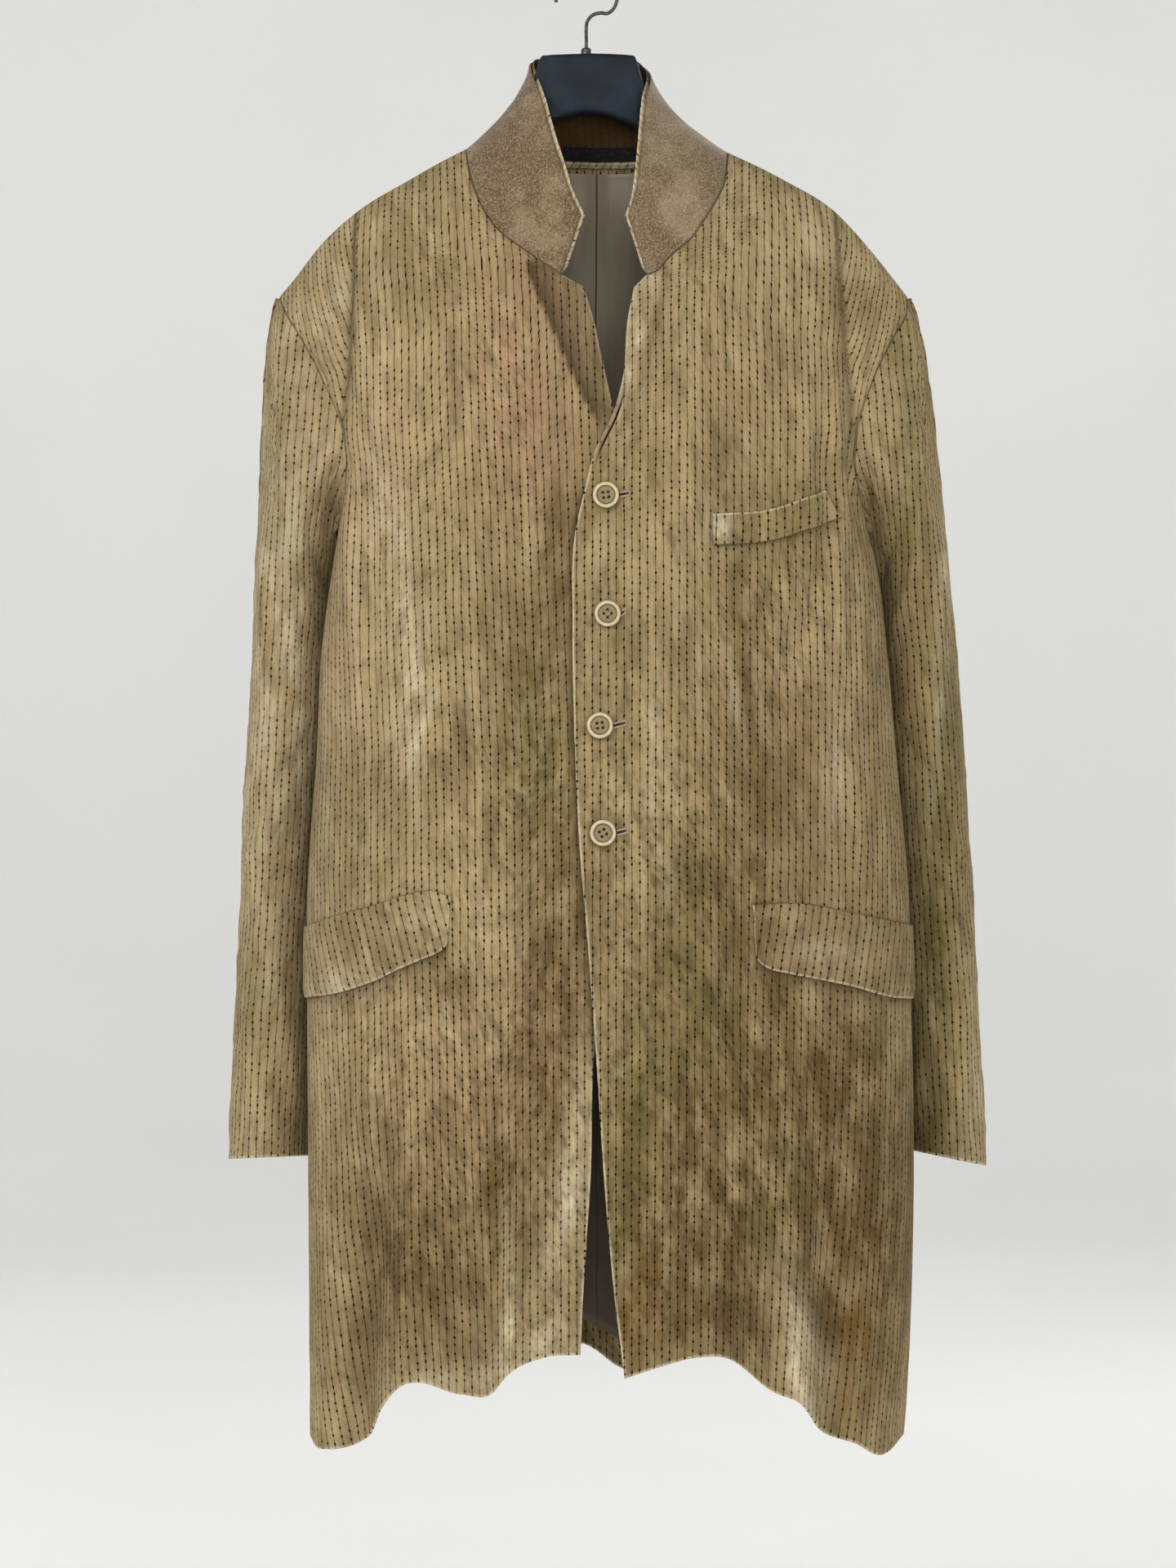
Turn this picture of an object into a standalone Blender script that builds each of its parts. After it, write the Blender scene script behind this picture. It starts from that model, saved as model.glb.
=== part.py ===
"""A long single-breasted coat of pinstriped cloth, buttoned, hanging by its hanger's hook.

Lengths are in millimetres until a mesh is made. X runs to the wearer's left, -Y is the front, +Z is up, and
the origin is the inside top of the hook, where the rail carries it. The coat is drawn as it looks from
VIEW_DISTANCE in front, in the plane of the hanger (y = 0). true_place() then draws what is nearer in and
what is further out, so that every outline keeps its drawn place.
"""
import math

import bmesh
import bpy
import numpy as np

OBJECT_NAME = "pinstripe_coat"
MM = 0.001

# Driving dimensions
CLOTH = 2.0  # wall of the coat's cloth
FELT = 1.2  # undercollar
TOP_COLLAR = 1.2
LINING = 1.0
LINING_EASE = 3.5  # the lining hangs this far inside the back's cloth
FLAP_CLOTH = 2.2
SEAM = 0.3  # between pieces that are sewn together
UNDERARM_EASE = 2.4  # the sleeve starts this much further from the body under the arm
LIFTED = 0.5  # under a flap, which lies on its panel
OVERLAP = 2.7  # how far the left front stands off the right one that it is buttoned over
VIEW_DISTANCE = 3000.0
VIEW_X = 1.3
VIEW_Z = -642.6
UNDERARM_Z = -438.0
ROUND = 0.28  # how much fuller than an ellipse the body's section is
SIDE_ANGLE = math.pi / 2
INSIDE = np.array([8.0, 0.0, -700.0])  # a point within the body, from which its walls face away

SEAM_HEM_Z = -1151.0  # where the side seams end
HEM_LEVEL = -1130.0  # the section that the hems are laid out on

# Grid of the panels
LOWER_ROWS = 18  # hem to underarm
UPPER_ROWS = 12  # underarm to shoulder
LAPEL_ROWS = 6  # underarm to the lapel's point
FRONT_COLUMNS = 12
BACK_SHOULDER_COLUMNS = 5
BACK_NECK_COLUMNS = 8
COLLAR_ROWS = 5
FLAP_ROWS = 3
WELT_ROWS = 2
POCKET_END = 0.3  # columns from the side seam to a flap's outer end


def table(columns, *rows):
    """A short table, as one array for each named column."""
    return dict(zip(columns.split(), np.array(rows, float).T))


# The line of the shoulders, carried on across the neck as a low dome
SHOULDER = table(
    "x z",
    (-262, -296),
    (-245, -266),
    (-229, -246),
    (-209, -220),
    (-182, -195),
    (-140, -169),
    (-95, -144.6),
    (-45, -126),
    (8, -119),
    (61, -127),
    (111, -147),
    (156, -169),
    (197, -195),
    (220, -220),
    (241, -246),
    (257, -267.5),
    (275, -298),
)
RIGHT_SHOULDER_X, LEFT_SHOULDER_X = -241.0, 252.0
RIGHT_NECK_X, LEFT_NECK_X = -95.0, 111.0

# Sections of the body: middle, half width, and how much the depth grows below the underarm
BODY = table(
    "z centre half fuller",
    (-1180, 16.0, 231.0, 24),
    (-1116, 17.7, 234.0, 22),
    (-956, 19.3, 237.3, 17),
    (-822, 18.0, 237.0, 12),
    (-731, 17.0, 236.0, 9),
    (-609, 15.5, 226.5, 6),
    (-540, 14.0, 222.0, 3),
    (-470, 14.3, 213.0, 1),
    (-438, 13.0, 206.5, 0),
    (-391, 11.5, 207.0, 0),
    (-362, 10.5, 223.0, 0),
    (-324, 9.0, 246.0, 0),
    (-276, 8.0, 271.0, 0),
    (-100, 8.0, 276.0, 0),
)
# The armhole's edge, as a share of the half width
ARMHOLE = table(
    "z front back",
    (-438, 1.0, 1.0),
    (-424, 0.998, 0.995),
    (-408, 0.99, 0.975),
    (-391, 0.965, 0.945),
    (-362, 0.912, 0.91),
    (-324, 0.882, 0.89),
    (-290, 0.885, 0.892),
    (-276, 0.895, 0.898),
)

# The free edge of each front, from the hem up to the point of the lapel
LEFT_EDGE = table(
    "z x",
    (-1108.5, 30),
    (-1045, 22),
    (-955, 14),
    (-858, 7.7),
    (-776, 1.6),
    (-682, -6),
    (-585, -10),
    (-517, -11),
    (-446, -9),
    (-410, -1),
    (-383, 6),
    (-353, 20),
    (-325, 28),
    (-278, 32),
    (-253, 37),
)
RIGHT_EDGE = table(
    "z x",
    (-1090, -4.6),
    (-1036, -2),
    (-948, 3.5),
    (-858, 6),
    (-776, 15),
    (-682, 25),
    (-585, 30),
    (-480, 32),
    (-420, 31),
    (-380, 28),
    (-346, 21),
    (-301, 11),
    (-278, 6),
    (-252.5, -2),
)
# The neck seam, from the lapel's notch up to the shoulder
LEFT_NECK = table(
    "x z",
    (46.5, -243.5),
    (56, -240),
    (67, -228),
    (82, -215),
    (91.5, -202),
    (101, -187),
    (108, -173),
    (110, -161),
    (111, -147),
)
RIGHT_NECK = table(
    "x z",
    (-19, -243),
    (-39, -230),
    (-54, -220),
    (-68.5, -209),
    (-81.5, -191),
    (-89, -173),
    (-93, -158),
    (-95, -144.6),
)
BACK_NECK_DROP = 11.0

# The line that each lapel rolls on, and how far it leans in past that line
ROLL = table("z left right", (-395, 12, 12), (-365, 25, 9), (-325, 40, -10), (-293, 48, -24), (-240, 61, -47))
ROLL_LEAN = 0.42

# The hem, across each front and the back
RIGHT_HEM = table(
    "x z",
    (-216, -1151),
    (-211, -1160),
    (-201, -1164),
    (-181, -1154),
    (-161, -1132),
    (-143, -1115),
    (-98, -1121),
    (-75, -1121),
    (-60, -1105),
    (-33, -1092),
    (-4.6, -1090),
)
LEFT_HEM = table(
    "x z",
    (30, -1108.5),
    (57, -1099.5),
    (81, -1093),
    (114, -1094),
    (145, -1119),
    (165, -1128),
    (192, -1151),
    (212, -1159),
    (240, -1166),
    (252, -1151),
)
BACK_HEM = table(
    "angle z",
    (-90, -1151),
    (-72, -1158),
    (-56, -1142),
    (-44, -1108),
    (-28, -1112),
    (-14, -1085),
    (-5, -1081),
    (3, -1101),
    (12, -1090),
    (22, -1086),
    (34, -1112),
    (48, -1143),
    (66, -1158),
    (90, -1151),
)

# Folds: where each is at its lower and upper end, how wide it is, and how far it stands out (in, if negative)
FRONT_FOLDS = table(
    "low_x low_z high_x high_z width out",
    (-184, -1180, -150, -830, 13, -13),
    (-205, -1180, -196, -900, 12, 5),
    (-150, -1180, -124, -880, 16, 7),
    (-66, -1180, -60, -960, 13, 6),
    (-92, -1180, -96, -900, 14, -4),
    (126, -1180, 116, -960, 14, -8),
    (160, -1180, 168, -900, 15, 9),
    (192, -1180, 186, -950, 13, -9),
    (84, -1180, 78, -900, 16, 4),
    (-191, -390, -183, -215, 7, -4),
    (209, -400, 193, -200, 7, -4),
    (-62, -560, -96, -330, 16, -3),
    (78, -560, 104, -330, 16, -3),
)
BACK_FOLDS = table(
    "low_x low_z high_x high_z width out",
    (-140, -1180, -120, -800, 18, -12),
    (-96, -1180, -92, -760, 16, 6),
    (8, -1180, 8, -700, 22, -8),
    (108, -1180, 92, -780, 16, 6),
    (154, -1180, 136, -830, 18, -12),
    (-190, -390, -180, -215, 8, -4),
    (208, -400, 192, -205, 8, -4),
    (-110, -560, -130, -340, 18, -4),
    (122, -560, 140, -340, 18, -4),
)

# Sections of the sleeves: the outer edge of each, the middle's place in depth, half length, half breadth, turn
SLEEVE = table(
    "z right_x left_x right_y left_y long broad turn",
    (-490, -260.5, 286.5, 50, 59, 67, 32, 14),
    (-540, -262.0, 290.0, 55, 63, 67, 32, 14),
    (-604, -265.0, 294.5, 57, 64, 65, 32, 13),
    (-668, -268.5, 299.0, 58, 64, 63, 32, 13),
    (-732, -271.5, 303.0, 57, 64, 60, 31.5, 12),
    (-796, -275.0, 307.0, 55, 63, 57, 31.5, 12),
    (-866, -278.5, 310.5, 48, 62, 55, 31.5, 12),
    (-935, -281.0, 313.5, 46, 61, 54, 31.5, 12),
)
CAP_RINGS = 5
CUFF_SLANT = {"right": 0.04, "left": 0.2}  # how far the cuff falls for each millimetre outwards

# The collar's upper edge, by share of the neck seam from the right notch to the left one
COLLAR_EDGE = table(
    "share x y z",
    (0.0, -4.5, -64, -197),
    (0.06, -13, -60, -178),
    (0.13, -21, -52, -153),
    (0.19, -28, -41, -132),
    (0.25, -36, -24, -104),
    (0.30, -44, -2, -82),
    (0.38, -34, 22, -77),
    (0.50, 4, 32, -76),
    (0.62, 42, 22, -79),
    (0.70, 51, -2, -90),
    (0.75, 47.5, -22, -104),
    (0.81, 44.5, -38, -128),
    (0.87, 42.5, -50, -152),
    (0.94, 38.5, -60, -179),
    (1.0, 33, -64, -197),
)
COLLAR_SEAM = 0.5
COLLAR_EASE = 0.8  # between the two collars at their upper edge, past the seam's gap
COLLAR_HOLLOW = 8.0  # how far the collar curves in between its seam and its edge
EDGE_SHOWN = 2.5  # of the top collar past the undercollar
LABEL_LIFT = 0.4
LABEL_TAPE = 0.8

# Pockets: top and bottom edges across the panel
RIGHT_FLAP = table(
    "x top bottom",
    (-219, -754, -810),
    (-197, -746, -807),
    (-168, -738, -798),
    (-140, -729, -785),
    (-120, -726, -777),
    (-108, -730, -773),
)
LEFT_FLAP = table(
    "x top bottom",
    (132, -737, -786),
    (152, -736, -790),
    (172, -736.5, -794),
    (206, -743, -801),
    (240, -750, -810),
    (254.5, -753, -811),
)
CHEST_WELT = table(
    "x top bottom",
    (98.5, -431, -456),
    (145, -427, -452),
    (172, -418, -444),
    (200, -407, -434),
)

# Buttons
BUTTON_PLACES = table("x z", (15.4, -416), (16.6, -509), (10.5, -597), (12.5, -681))
BUTTON_RADIUS = 10.25
BUTTON_PROFILE = table(
    "radius height",
    (0.0, 0.0),
    (8.6, 0.0),
    (10.25, 1.5),
    (10.25, 2.7),
    (9.3, 3.6),
    (7.9, 3.4),
    (6.6, 2.2),
    (0.0, 2.0),
)
HOLE_RADIUS = 1.0
HOLE_SPREAD = 2.1
BUTTON_LIFT = 0.6

# Hanger
HANGER = table(
    "x top bottom thick",
    (-186, -207, -216, 3.0),
    (-182, -200, -222, 5.0),
    (-164, -185, -216, 6.0),
    (-140, -172, -204, 6.5),
    (-119, -159, -189, 7.0),
    (-95, -153, -172, 5.0),
    (-82, -148, -164, 6.0),
    (-68, -138, -154, 7.0),
    (-56, -126, -144, 9.0),
    (-46, -109, -136, 10.0),
    (-39, -88, -130, 11.0),
    (-34, -75, -126.5, 11.5),
    (-26, -73, -123.5, 12.0),
    (-13, -72, -120, 12.0),
    (3, -71.5, -118, 12.0),
    (20, -72, -121, 12.0),
    (31, -73, -125.5, 12.0),
    (39, -76, -129, 11.5),
    (44.2, -93, -132.5, 10.0),
    (53, -112, -137, 10.0),
    (67, -130, -146, 9.0),
    (82, -142, -156, 7.0),
    (98, -151, -166, 6.0),
    (111, -156, -174, 5.0),
    (132, -159, -189, 7.0),
    (156, -172, -204, 6.5),
    (178, -185, -217, 6.0),
    (190, -194, -226, 5.0),
    (194, -203, -218, 3.0),
)
HANGER_SIDES = 10
HANGER_EASE = 0.9  # between the arms and the cloth that they carry
WIRE_RADIUS = 1.4
HOOK_RADIUS = 24.5
HOOK_ARC = (-27.0, 196.0)  # degrees of its round part, from the S-bend over to the tip
STEM_TOP = -49.0
STEM_FOOT = -84.0
BLOCK_TOP = -71.5
FERRULE_RADIUS = 4.2
FERRULE_HEIGHT = 5.0


def smooth_at(t, known, values):
    """A smooth curve through a table's points: cubic pieces whose slopes are the mean of their neighbours'."""
    step = np.diff(known)
    slope = np.diff(values) / step
    inner = (slope[:-1] * step[1:] + slope[1:] * step[:-1]) / (step[1:] + step[:-1])
    tangent = np.concatenate([slope[:1], inner, slope[-1:]])
    t = np.clip(t, known[0], known[-1])
    i = np.clip(np.searchsorted(known, t, side="right") - 1, 0, len(step) - 1)
    s = (t - known[i]) / step[i]
    start = values[i] * (2 * s**3 - 3 * s**2 + 1) + step[i] * tangent[i] * (s**3 - 2 * s**2 + s)
    return start + values[i + 1] * (3 * s**2 - 2 * s**3) + step[i] * tangent[i + 1] * (s**3 - s**2)


def fade(t):
    """0 below 0, 1 above 1, and a smooth rise between."""
    t = np.clip(t, 0, 1)
    return t * t * (3 - 2 * t)


def ridge(x):
    return smooth_at(x, SHOULDER["x"], SHOULDER["z"])


def body(z, column):
    return smooth_at(z, BODY["z"], BODY[column])


def torso(angle, z, face):
    """A point of the body: angle from its middle round to its side, face -1 for the front and 1 for the back."""
    x = body(z, "centre") + body(z, "half") * np.sin(angle)
    below = np.maximum(ridge(x) - z, 0)
    if face < 0:
        depth = 12 * (1 - np.exp(-below / 5)) + 86 * (1 - np.exp(-below / 120)) + body(z, "fuller")
    else:
        depth = 12 * (1 - np.exp(-below / 5)) + 80 * (1 - np.exp(-below / 105)) + 0.8 * body(z, "fuller")
    y = face * depth * np.cos(angle) * (1 + ROUND * np.sin(angle) ** 2)
    return np.stack([x, y, z + 0 * x], axis=-1)


def angle_at(x, z):
    return np.arcsin(np.clip((x - body(z, "centre")) / body(z, "half"), -1, 1))


def grid_normals(points, away_from, closed=False):
    """Unit normals of a grid of points, turned away from a point or from an array of points."""
    if closed:
        wide = np.concatenate([points[:, -1:], points, points[:, :1]], axis=1)
        across = np.gradient(wide, axis=1)[:, 1:-1]
    else:
        across = np.gradient(points, axis=1)
    along = np.gradient(points, axis=0)
    normal = np.cross(across, along)
    normal /= np.linalg.norm(normal, axis=-1, keepdims=True)
    if ((points - away_from) * normal).sum() < 0:
        normal = -normal
    return normal


def folded(points, normals, folds):
    """The points moved along their normals by each fold, a soft bar that fades at its ends."""
    x, z = points[..., 0], points[..., 2]
    moved = np.zeros_like(x)
    for low_x, low_z, high_x, high_z, width, out in zip(*folds.values()):
        share = (z - low_z) / (high_z - low_z)
        middle = low_x + (high_x - low_x) * share
        reach = fade(3 * share + 0.9) * fade(1.8 * (1 - share))
        moved += out * reach * np.exp(-(((x - middle) / width) ** 2))
    return points + moved[..., None] * normals


def patch(side_a, side_b, bottom, top):
    """A Coons patch over (angle, z): sides are one pair for each row, bottom and top one for each column."""
    rows, columns = len(side_a), len(bottom)
    across = np.linspace(0, 1, columns)[None, :, None]
    up = np.linspace(0, 1, rows)[:, None, None]
    ruled = side_a[:, None] * (1 - across) + side_b[:, None] * across
    low = bottom - ruled[0]
    high = top - ruled[-1]
    return ruled + low[None] * (1 - up) ** 3 + high[None] * up**2


def upper_shares():
    """Rows from the underarm to the shoulder, closer near the shoulder."""
    return 1 - (1 - np.arange(UPPER_ROWS + 1) / UPPER_ROWS) ** 1.4


def armhole_edge(side, face):
    """(angle, z) of the panel's outer edge for each row: the side seam, then the armhole."""
    shoulder_x = {"right": RIGHT_SHOULDER_X, "left": LEFT_SHOULDER_X}[side]
    sign = {"right": -1, "left": 1}[side]
    top_z = ridge(shoulder_x)
    lower_z = np.linspace(SEAM_HEM_Z, UNDERARM_Z, LOWER_ROWS + 1)
    z = UNDERARM_Z + (top_z - UNDERARM_Z) * upper_shares()
    top_share = abs(shoulder_x - body(top_z, "centre")) / body(top_z, "half")
    known = np.append(ARMHOLE["z"], top_z)
    shares = np.append(ARMHOLE["front" if face < 0 else "back"], top_share)
    angle = sign * np.arcsin(np.clip(smooth_at(z, known, shares), 0, 1))
    lower = np.stack([np.full(LOWER_ROWS, sign * SIDE_ANGLE), lower_z[:-1]], axis=1)
    return np.concatenate([lower, np.stack([angle, z], axis=1)])


def evenly(points, shares):
    """Points at shares of the length of a polyline drawn in x and z."""
    along = np.concatenate([[0], np.cumsum(np.hypot(*np.diff(points, axis=0).T))])
    at = shares * along[-1]
    return np.stack([np.interp(at, along, points[:, k]) for k in range(2)], axis=1)


def inner_edge(edge, neck):
    """(angle, z) of a front's free edge for each row: front edge, lapel, notch and neck seam."""
    lower_z = np.linspace(edge["z"][0], UNDERARM_Z, LOWER_ROWS + 1)
    lapel_z = np.linspace(UNDERARM_Z, edge["z"][-1], LAPEL_ROWS + 1)
    z = np.concatenate([lower_z, lapel_z[1:]])
    x = smooth_at(z, edge["z"], edge["x"])
    seam_rows = UPPER_ROWS - LAPEL_ROWS - 1
    fine_z = np.linspace(0, 1, 60)
    seam = np.stack([smooth_at(fine_z, np.linspace(0, 1, len(neck["x"])), neck[k]) for k in "xz"], axis=1)
    shares = 1 - (1 - np.arange(seam_rows + 1) / seam_rows) ** 1.3
    seam = evenly(seam, shares)
    x = np.concatenate([x, seam[:, 0]])
    z = np.concatenate([z, seam[:, 1]])
    return np.stack([angle_at(x, z), z], axis=1)


def roll_back(points, side):
    """The lapel leans in, past the line that it rolls on."""
    x, z = points[..., 0], points[..., 2]
    line = smooth_at(z, ROLL["z"], ROLL[side])
    past = (line - x) if side == "left" else (x - line)
    past = np.clip(past, 0, 40) * fade((z + 378) / 60)
    points[..., 1] += ROLL_LEAN * past
    return points


def walled(points, face, thickness=CLOTH):
    """Outer and inner points of a panel, whose normals lie flat at the side seam and along the shoulder."""
    normals = grid_normals(points, INSIDE)
    on_seam = np.abs(points[..., 1]) < SEAM / 2
    points[..., 1] = np.where(on_seam, face * SEAM / 2, points[..., 1])
    normals[..., 1] = np.where(on_seam, 0, normals[..., 1])
    normals /= np.linalg.norm(normals, axis=-1, keepdims=True)
    return {"out": points, "normal": normals, "in": points - thickness * normals}


def front_panel(side):
    """One front: hem, side seam and armhole, shoulder, and the free edge with its lapel and neck seam."""
    edge, neck, hem = {
        "left": (LEFT_EDGE, LEFT_NECK, LEFT_HEM),
        "right": (RIGHT_EDGE, RIGHT_NECK, RIGHT_HEM),
    }[side]
    outer = armhole_edge(side, -1)
    inner = inner_edge(edge, neck)
    angles = np.linspace(outer[0, 0], inner[0, 0], FRONT_COLUMNS + 1)
    hem_x = body(HEM_LEVEL, "centre") + body(HEM_LEVEL, "half") * np.sin(angles)
    hem_z = smooth_at(hem_x, hem["x"], hem["z"])
    bottom = np.stack([angles, hem_z], axis=1)
    shoulder = {"right": (RIGHT_SHOULDER_X, RIGHT_NECK_X), "left": (LEFT_SHOULDER_X, LEFT_NECK_X)}[side]
    top_x = np.linspace(*shoulder, FRONT_COLUMNS + 1)
    top = np.stack([angle_at(top_x, ridge(top_x)), ridge(top_x)], axis=1)
    plan = patch(outer, inner, bottom, top)
    points = torso(plan[..., 0], plan[..., 1], -1)
    points = folded(points, grid_normals(points, INSIDE), FRONT_FOLDS)
    points[:, 0] = torso(plan[:, 0, 0], plan[:, 0, 1], -1)
    points[-1] = torso(plan[-1, :, 0], plan[-1, :, 1], -1)
    points = roll_back(points, side)
    if side == "left":
        x, z = points[..., 0], points[..., 2]
        points[..., 1] -= OVERLAP * fade((70 - x) / 30) * fade((-325 - z) / 30)
    return walled(points, -1)


def back_panel():
    """The back: both armholes, both shoulders and the neck seam between them."""
    right = armhole_edge("right", 1)
    left = armhole_edge("left", 1)
    columns = 2 * BACK_SHOULDER_COLUMNS + BACK_NECK_COLUMNS
    angles = np.linspace(-SIDE_ANGLE, SIDE_ANGLE, columns + 1)
    bottom = np.stack([angles, smooth_at(np.degrees(angles), BACK_HEM["angle"], BACK_HEM["z"])], axis=1)
    right_x = np.linspace(RIGHT_SHOULDER_X, RIGHT_NECK_X, BACK_SHOULDER_COLUMNS + 1)
    neck_x = np.linspace(RIGHT_NECK_X, LEFT_NECK_X, BACK_NECK_COLUMNS + 1)
    left_x = np.linspace(LEFT_NECK_X, LEFT_SHOULDER_X, BACK_SHOULDER_COLUMNS + 1)
    top_x = np.concatenate([right_x, neck_x[1:-1], left_x])
    neck_share = np.clip((top_x - RIGHT_NECK_X) / (LEFT_NECK_X - RIGHT_NECK_X), 0, 1)
    straight = ridge(RIGHT_NECK_X) + (ridge(LEFT_NECK_X) - ridge(RIGHT_NECK_X)) * neck_share
    on_neck = (neck_share > 0) & (neck_share < 1)
    top_z = np.where(on_neck, straight - BACK_NECK_DROP * np.sin(np.pi * neck_share) ** 0.7, ridge(top_x))
    top = np.stack([angle_at(top_x, top_z), top_z], axis=1)
    plan = patch(right, left, bottom, top)
    points = torso(plan[..., 0], plan[..., 1], 1)
    edges = points.copy()
    points = folded(points, grid_normals(points, INSIDE), BACK_FOLDS)
    points[:, 0], points[:, -1], points[-1] = edges[:, 0], edges[:, -1], edges[-1]
    return walled(points, 1)


def joined_ring(front, back):
    """The armhole's ring: up the front's edge and down the back's, with one point where they meet."""
    ring = {}
    for key in ("out", "in", "normal"):
        rise, fall = front[key], back[key][::-1]
        top = (rise[-1:] + fall[:1]) / 2
        low = (rise[:1] + fall[-1:]) / 2
        ring[key] = np.concatenate([low, rise[1:-1], top, fall[1:-1]])
    return ring


def sleeve(side, front, back):
    """A tube from the armhole to the cuff: a cap of cubic curves, then turned ellipses."""
    column = 0 if side == "right" else -1
    edge = {k: front[k][LOWER_ROWS:, 0] for k in ("out", "in", "normal")}
    back_edge = {k: back[k][LOWER_ROWS:, column] for k in ("out", "in", "normal")}
    ring = joined_ring(edge, back_edge)
    sign = -1 if side == "right" else 1
    closed = np.concatenate([ring["out"][-1:], ring["out"], ring["out"][:1]])
    tangent = np.gradient(closed, axis=0)[1:-1]
    away = np.cross(ring["normal"], tangent)
    away /= np.linalg.norm(away, axis=1, keepdims=True)
    middle = ring["out"].mean(axis=0)
    inward = ((middle - ring["out"]) * away).sum(axis=1, keepdims=True)
    away = np.where(inward.sum() < 0, -away, away)
    turn = np.clip(away[:, 2:3], 0, 1)
    straight = np.sqrt(1 - turn**2)
    start = ring["out"] * straight**2 + ring["in"] * turn**2 + (SEAM + UNDERARM_EASE * turn) * away
    heading = away * straight + ring["normal"] * turn
    facing = ring["normal"] * straight - away * turn

    along = np.concatenate([[0], np.cumsum(np.linalg.norm(np.diff(ring["out"], axis=0), axis=1))])
    rise = along[UPPER_ROWS]
    fall = along[-1] + np.linalg.norm(ring["out"][-1] - ring["out"][0]) - rise
    around = np.where(along <= rise, along / rise, 1 + (along - rise) / fall) * math.pi
    fine = np.linspace(0, 1, 9)
    levels = SLEEVE["z"][0] + (SLEEVE["z"][-1] - SLEEVE["z"][0]) * fine
    rings = [sleeve_section(side, sign, z, around) for z in levels]
    rings = np.array(rings)
    outwards = sign * (rings[-1, :, 0] - rings[-1, :, 0].mean())
    rings[-1, :, 2] -= CUFF_SLANT[side] * outwards
    rings[-2, :, 2] -= 0.3 * CUFF_SLANT[side] * outwards

    end = rings[0]
    chord = np.linalg.norm(end - start, axis=1, keepdims=True)
    first = heading * chord * (0.27 + 0.45 * turn)
    last = (rings[1] - rings[0]) / np.linalg.norm(rings[1] - rings[0], axis=1, keepdims=True) * chord * 0.8
    cap = []
    for s in np.linspace(0, 1, CAP_RINGS + 1)[:-1]:
        cap.append(
            start * (2 * s**3 - 3 * s**2 + 1)
            + first * (s**3 - 2 * s**2 + s)
            + end * (3 * s**2 - 2 * s**3)
            + last * (s**3 - s**2)
        )
    outer = np.concatenate([np.array(cap), rings])
    axis = outer.mean(axis=1, keepdims=True)
    normal = grid_normals(outer, axis, closed=True)
    normal[0] = facing
    return outer, outer - CLOTH * normal


def sleeve_section(side, sign, z, around):
    """A turned ellipse at one level: 0 at the body's side, then the front, the outer side and the back."""
    at = {k: smooth_at(-z, -SLEEVE["z"], SLEEVE[k]) for k in SLEEVE}
    turn = math.radians(at["turn"])
    reach = math.hypot(at["broad"] * math.cos(turn), at["long"] * math.sin(turn))
    middle_x = at[f"{side}_x"] - sign * reach
    across = -np.cos(around) * at["broad"]
    forward = np.sin(around) * at["long"]
    outward = across * math.cos(turn) + forward * math.sin(turn)
    depth = across * math.sin(turn) - forward * math.cos(turn)
    x = middle_x + sign * outward
    y = at[f"{side}_y"] + depth
    return np.stack([x, y, np.full_like(x, z)], axis=1)


def collar(front_right, back, front_left):
    """Outer and inner grids of the undercollar and the top collar, which stand on the neck seam."""
    notch = LOWER_ROWS + LAPEL_ROWS + 1
    first, last = BACK_SHOULDER_COLUMNS, BACK_SHOULDER_COLUMNS + BACK_NECK_COLUMNS
    seam = {}
    for key in ("out", "normal"):
        rise = front_right[key][notch:, -1]
        across = back[key][-1, first : last + 1]
        fall = front_left[key][notch:, -1][::-1]
        right = (rise[-1:] + across[:1]) / 2
        left = (fall[:1] + across[-1:]) / 2
        seam[key] = np.concatenate([rise[:-1], right, across[1:-1], left, fall[1:]])
    seam["normal"] /= np.linalg.norm(seam["normal"], axis=1, keepdims=True)
    length = np.linalg.norm(np.diff(seam["out"], axis=0), axis=1)
    share = np.concatenate([[0], np.cumsum(length)]) / length.sum()
    edge = np.stack([smooth_at(share, COLLAR_EDGE["share"], COLLAR_EDGE[k]) for k in "xyz"], axis=1)
    tangent = np.gradient(seam["out"], axis=0)
    away = np.cross(seam["normal"], tangent)
    away /= np.linalg.norm(away, axis=1, keepdims=True)
    away *= np.sign((away * (edge - seam["out"])).sum(axis=1, keepdims=True))
    start = seam["out"] + COLLAR_SEAM * away
    up = np.linspace(0, 1, COLLAR_ROWS + 1)[:, None, None]
    points = start * (1 - up) + edge * up
    inside = np.array([8.0, -10.0, 0.0]) - points
    inside[..., 2] = 0
    inside /= np.linalg.norm(inside, axis=-1, keepdims=True)
    hollow = COLLAR_HOLLOW * 4 * up * (1 - up) * np.sin(np.pi * share)[None, :, None] ** 2
    points = points + hollow * inside
    centre = np.array([8.0, -15.0, 0.0]) * np.array([1, 1, 0]) + points * np.array([0, 0, 1])
    normal = grid_normals(points, centre)
    normal[0] = seam["normal"]
    rise = (points[-1] - points[-2]) / np.linalg.norm(points[-1] - points[-2], axis=1, keepdims=True)
    longer = points.copy()
    under = (points, points - FELT * normal)
    longer[-1] = points[-1] + EDGE_SHOWN * rise
    behind = longer - (FELT + SEAM + COLLAR_EASE * up) * normal
    top = (behind, behind - TOP_COLLAR * normal)
    return under, top


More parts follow.
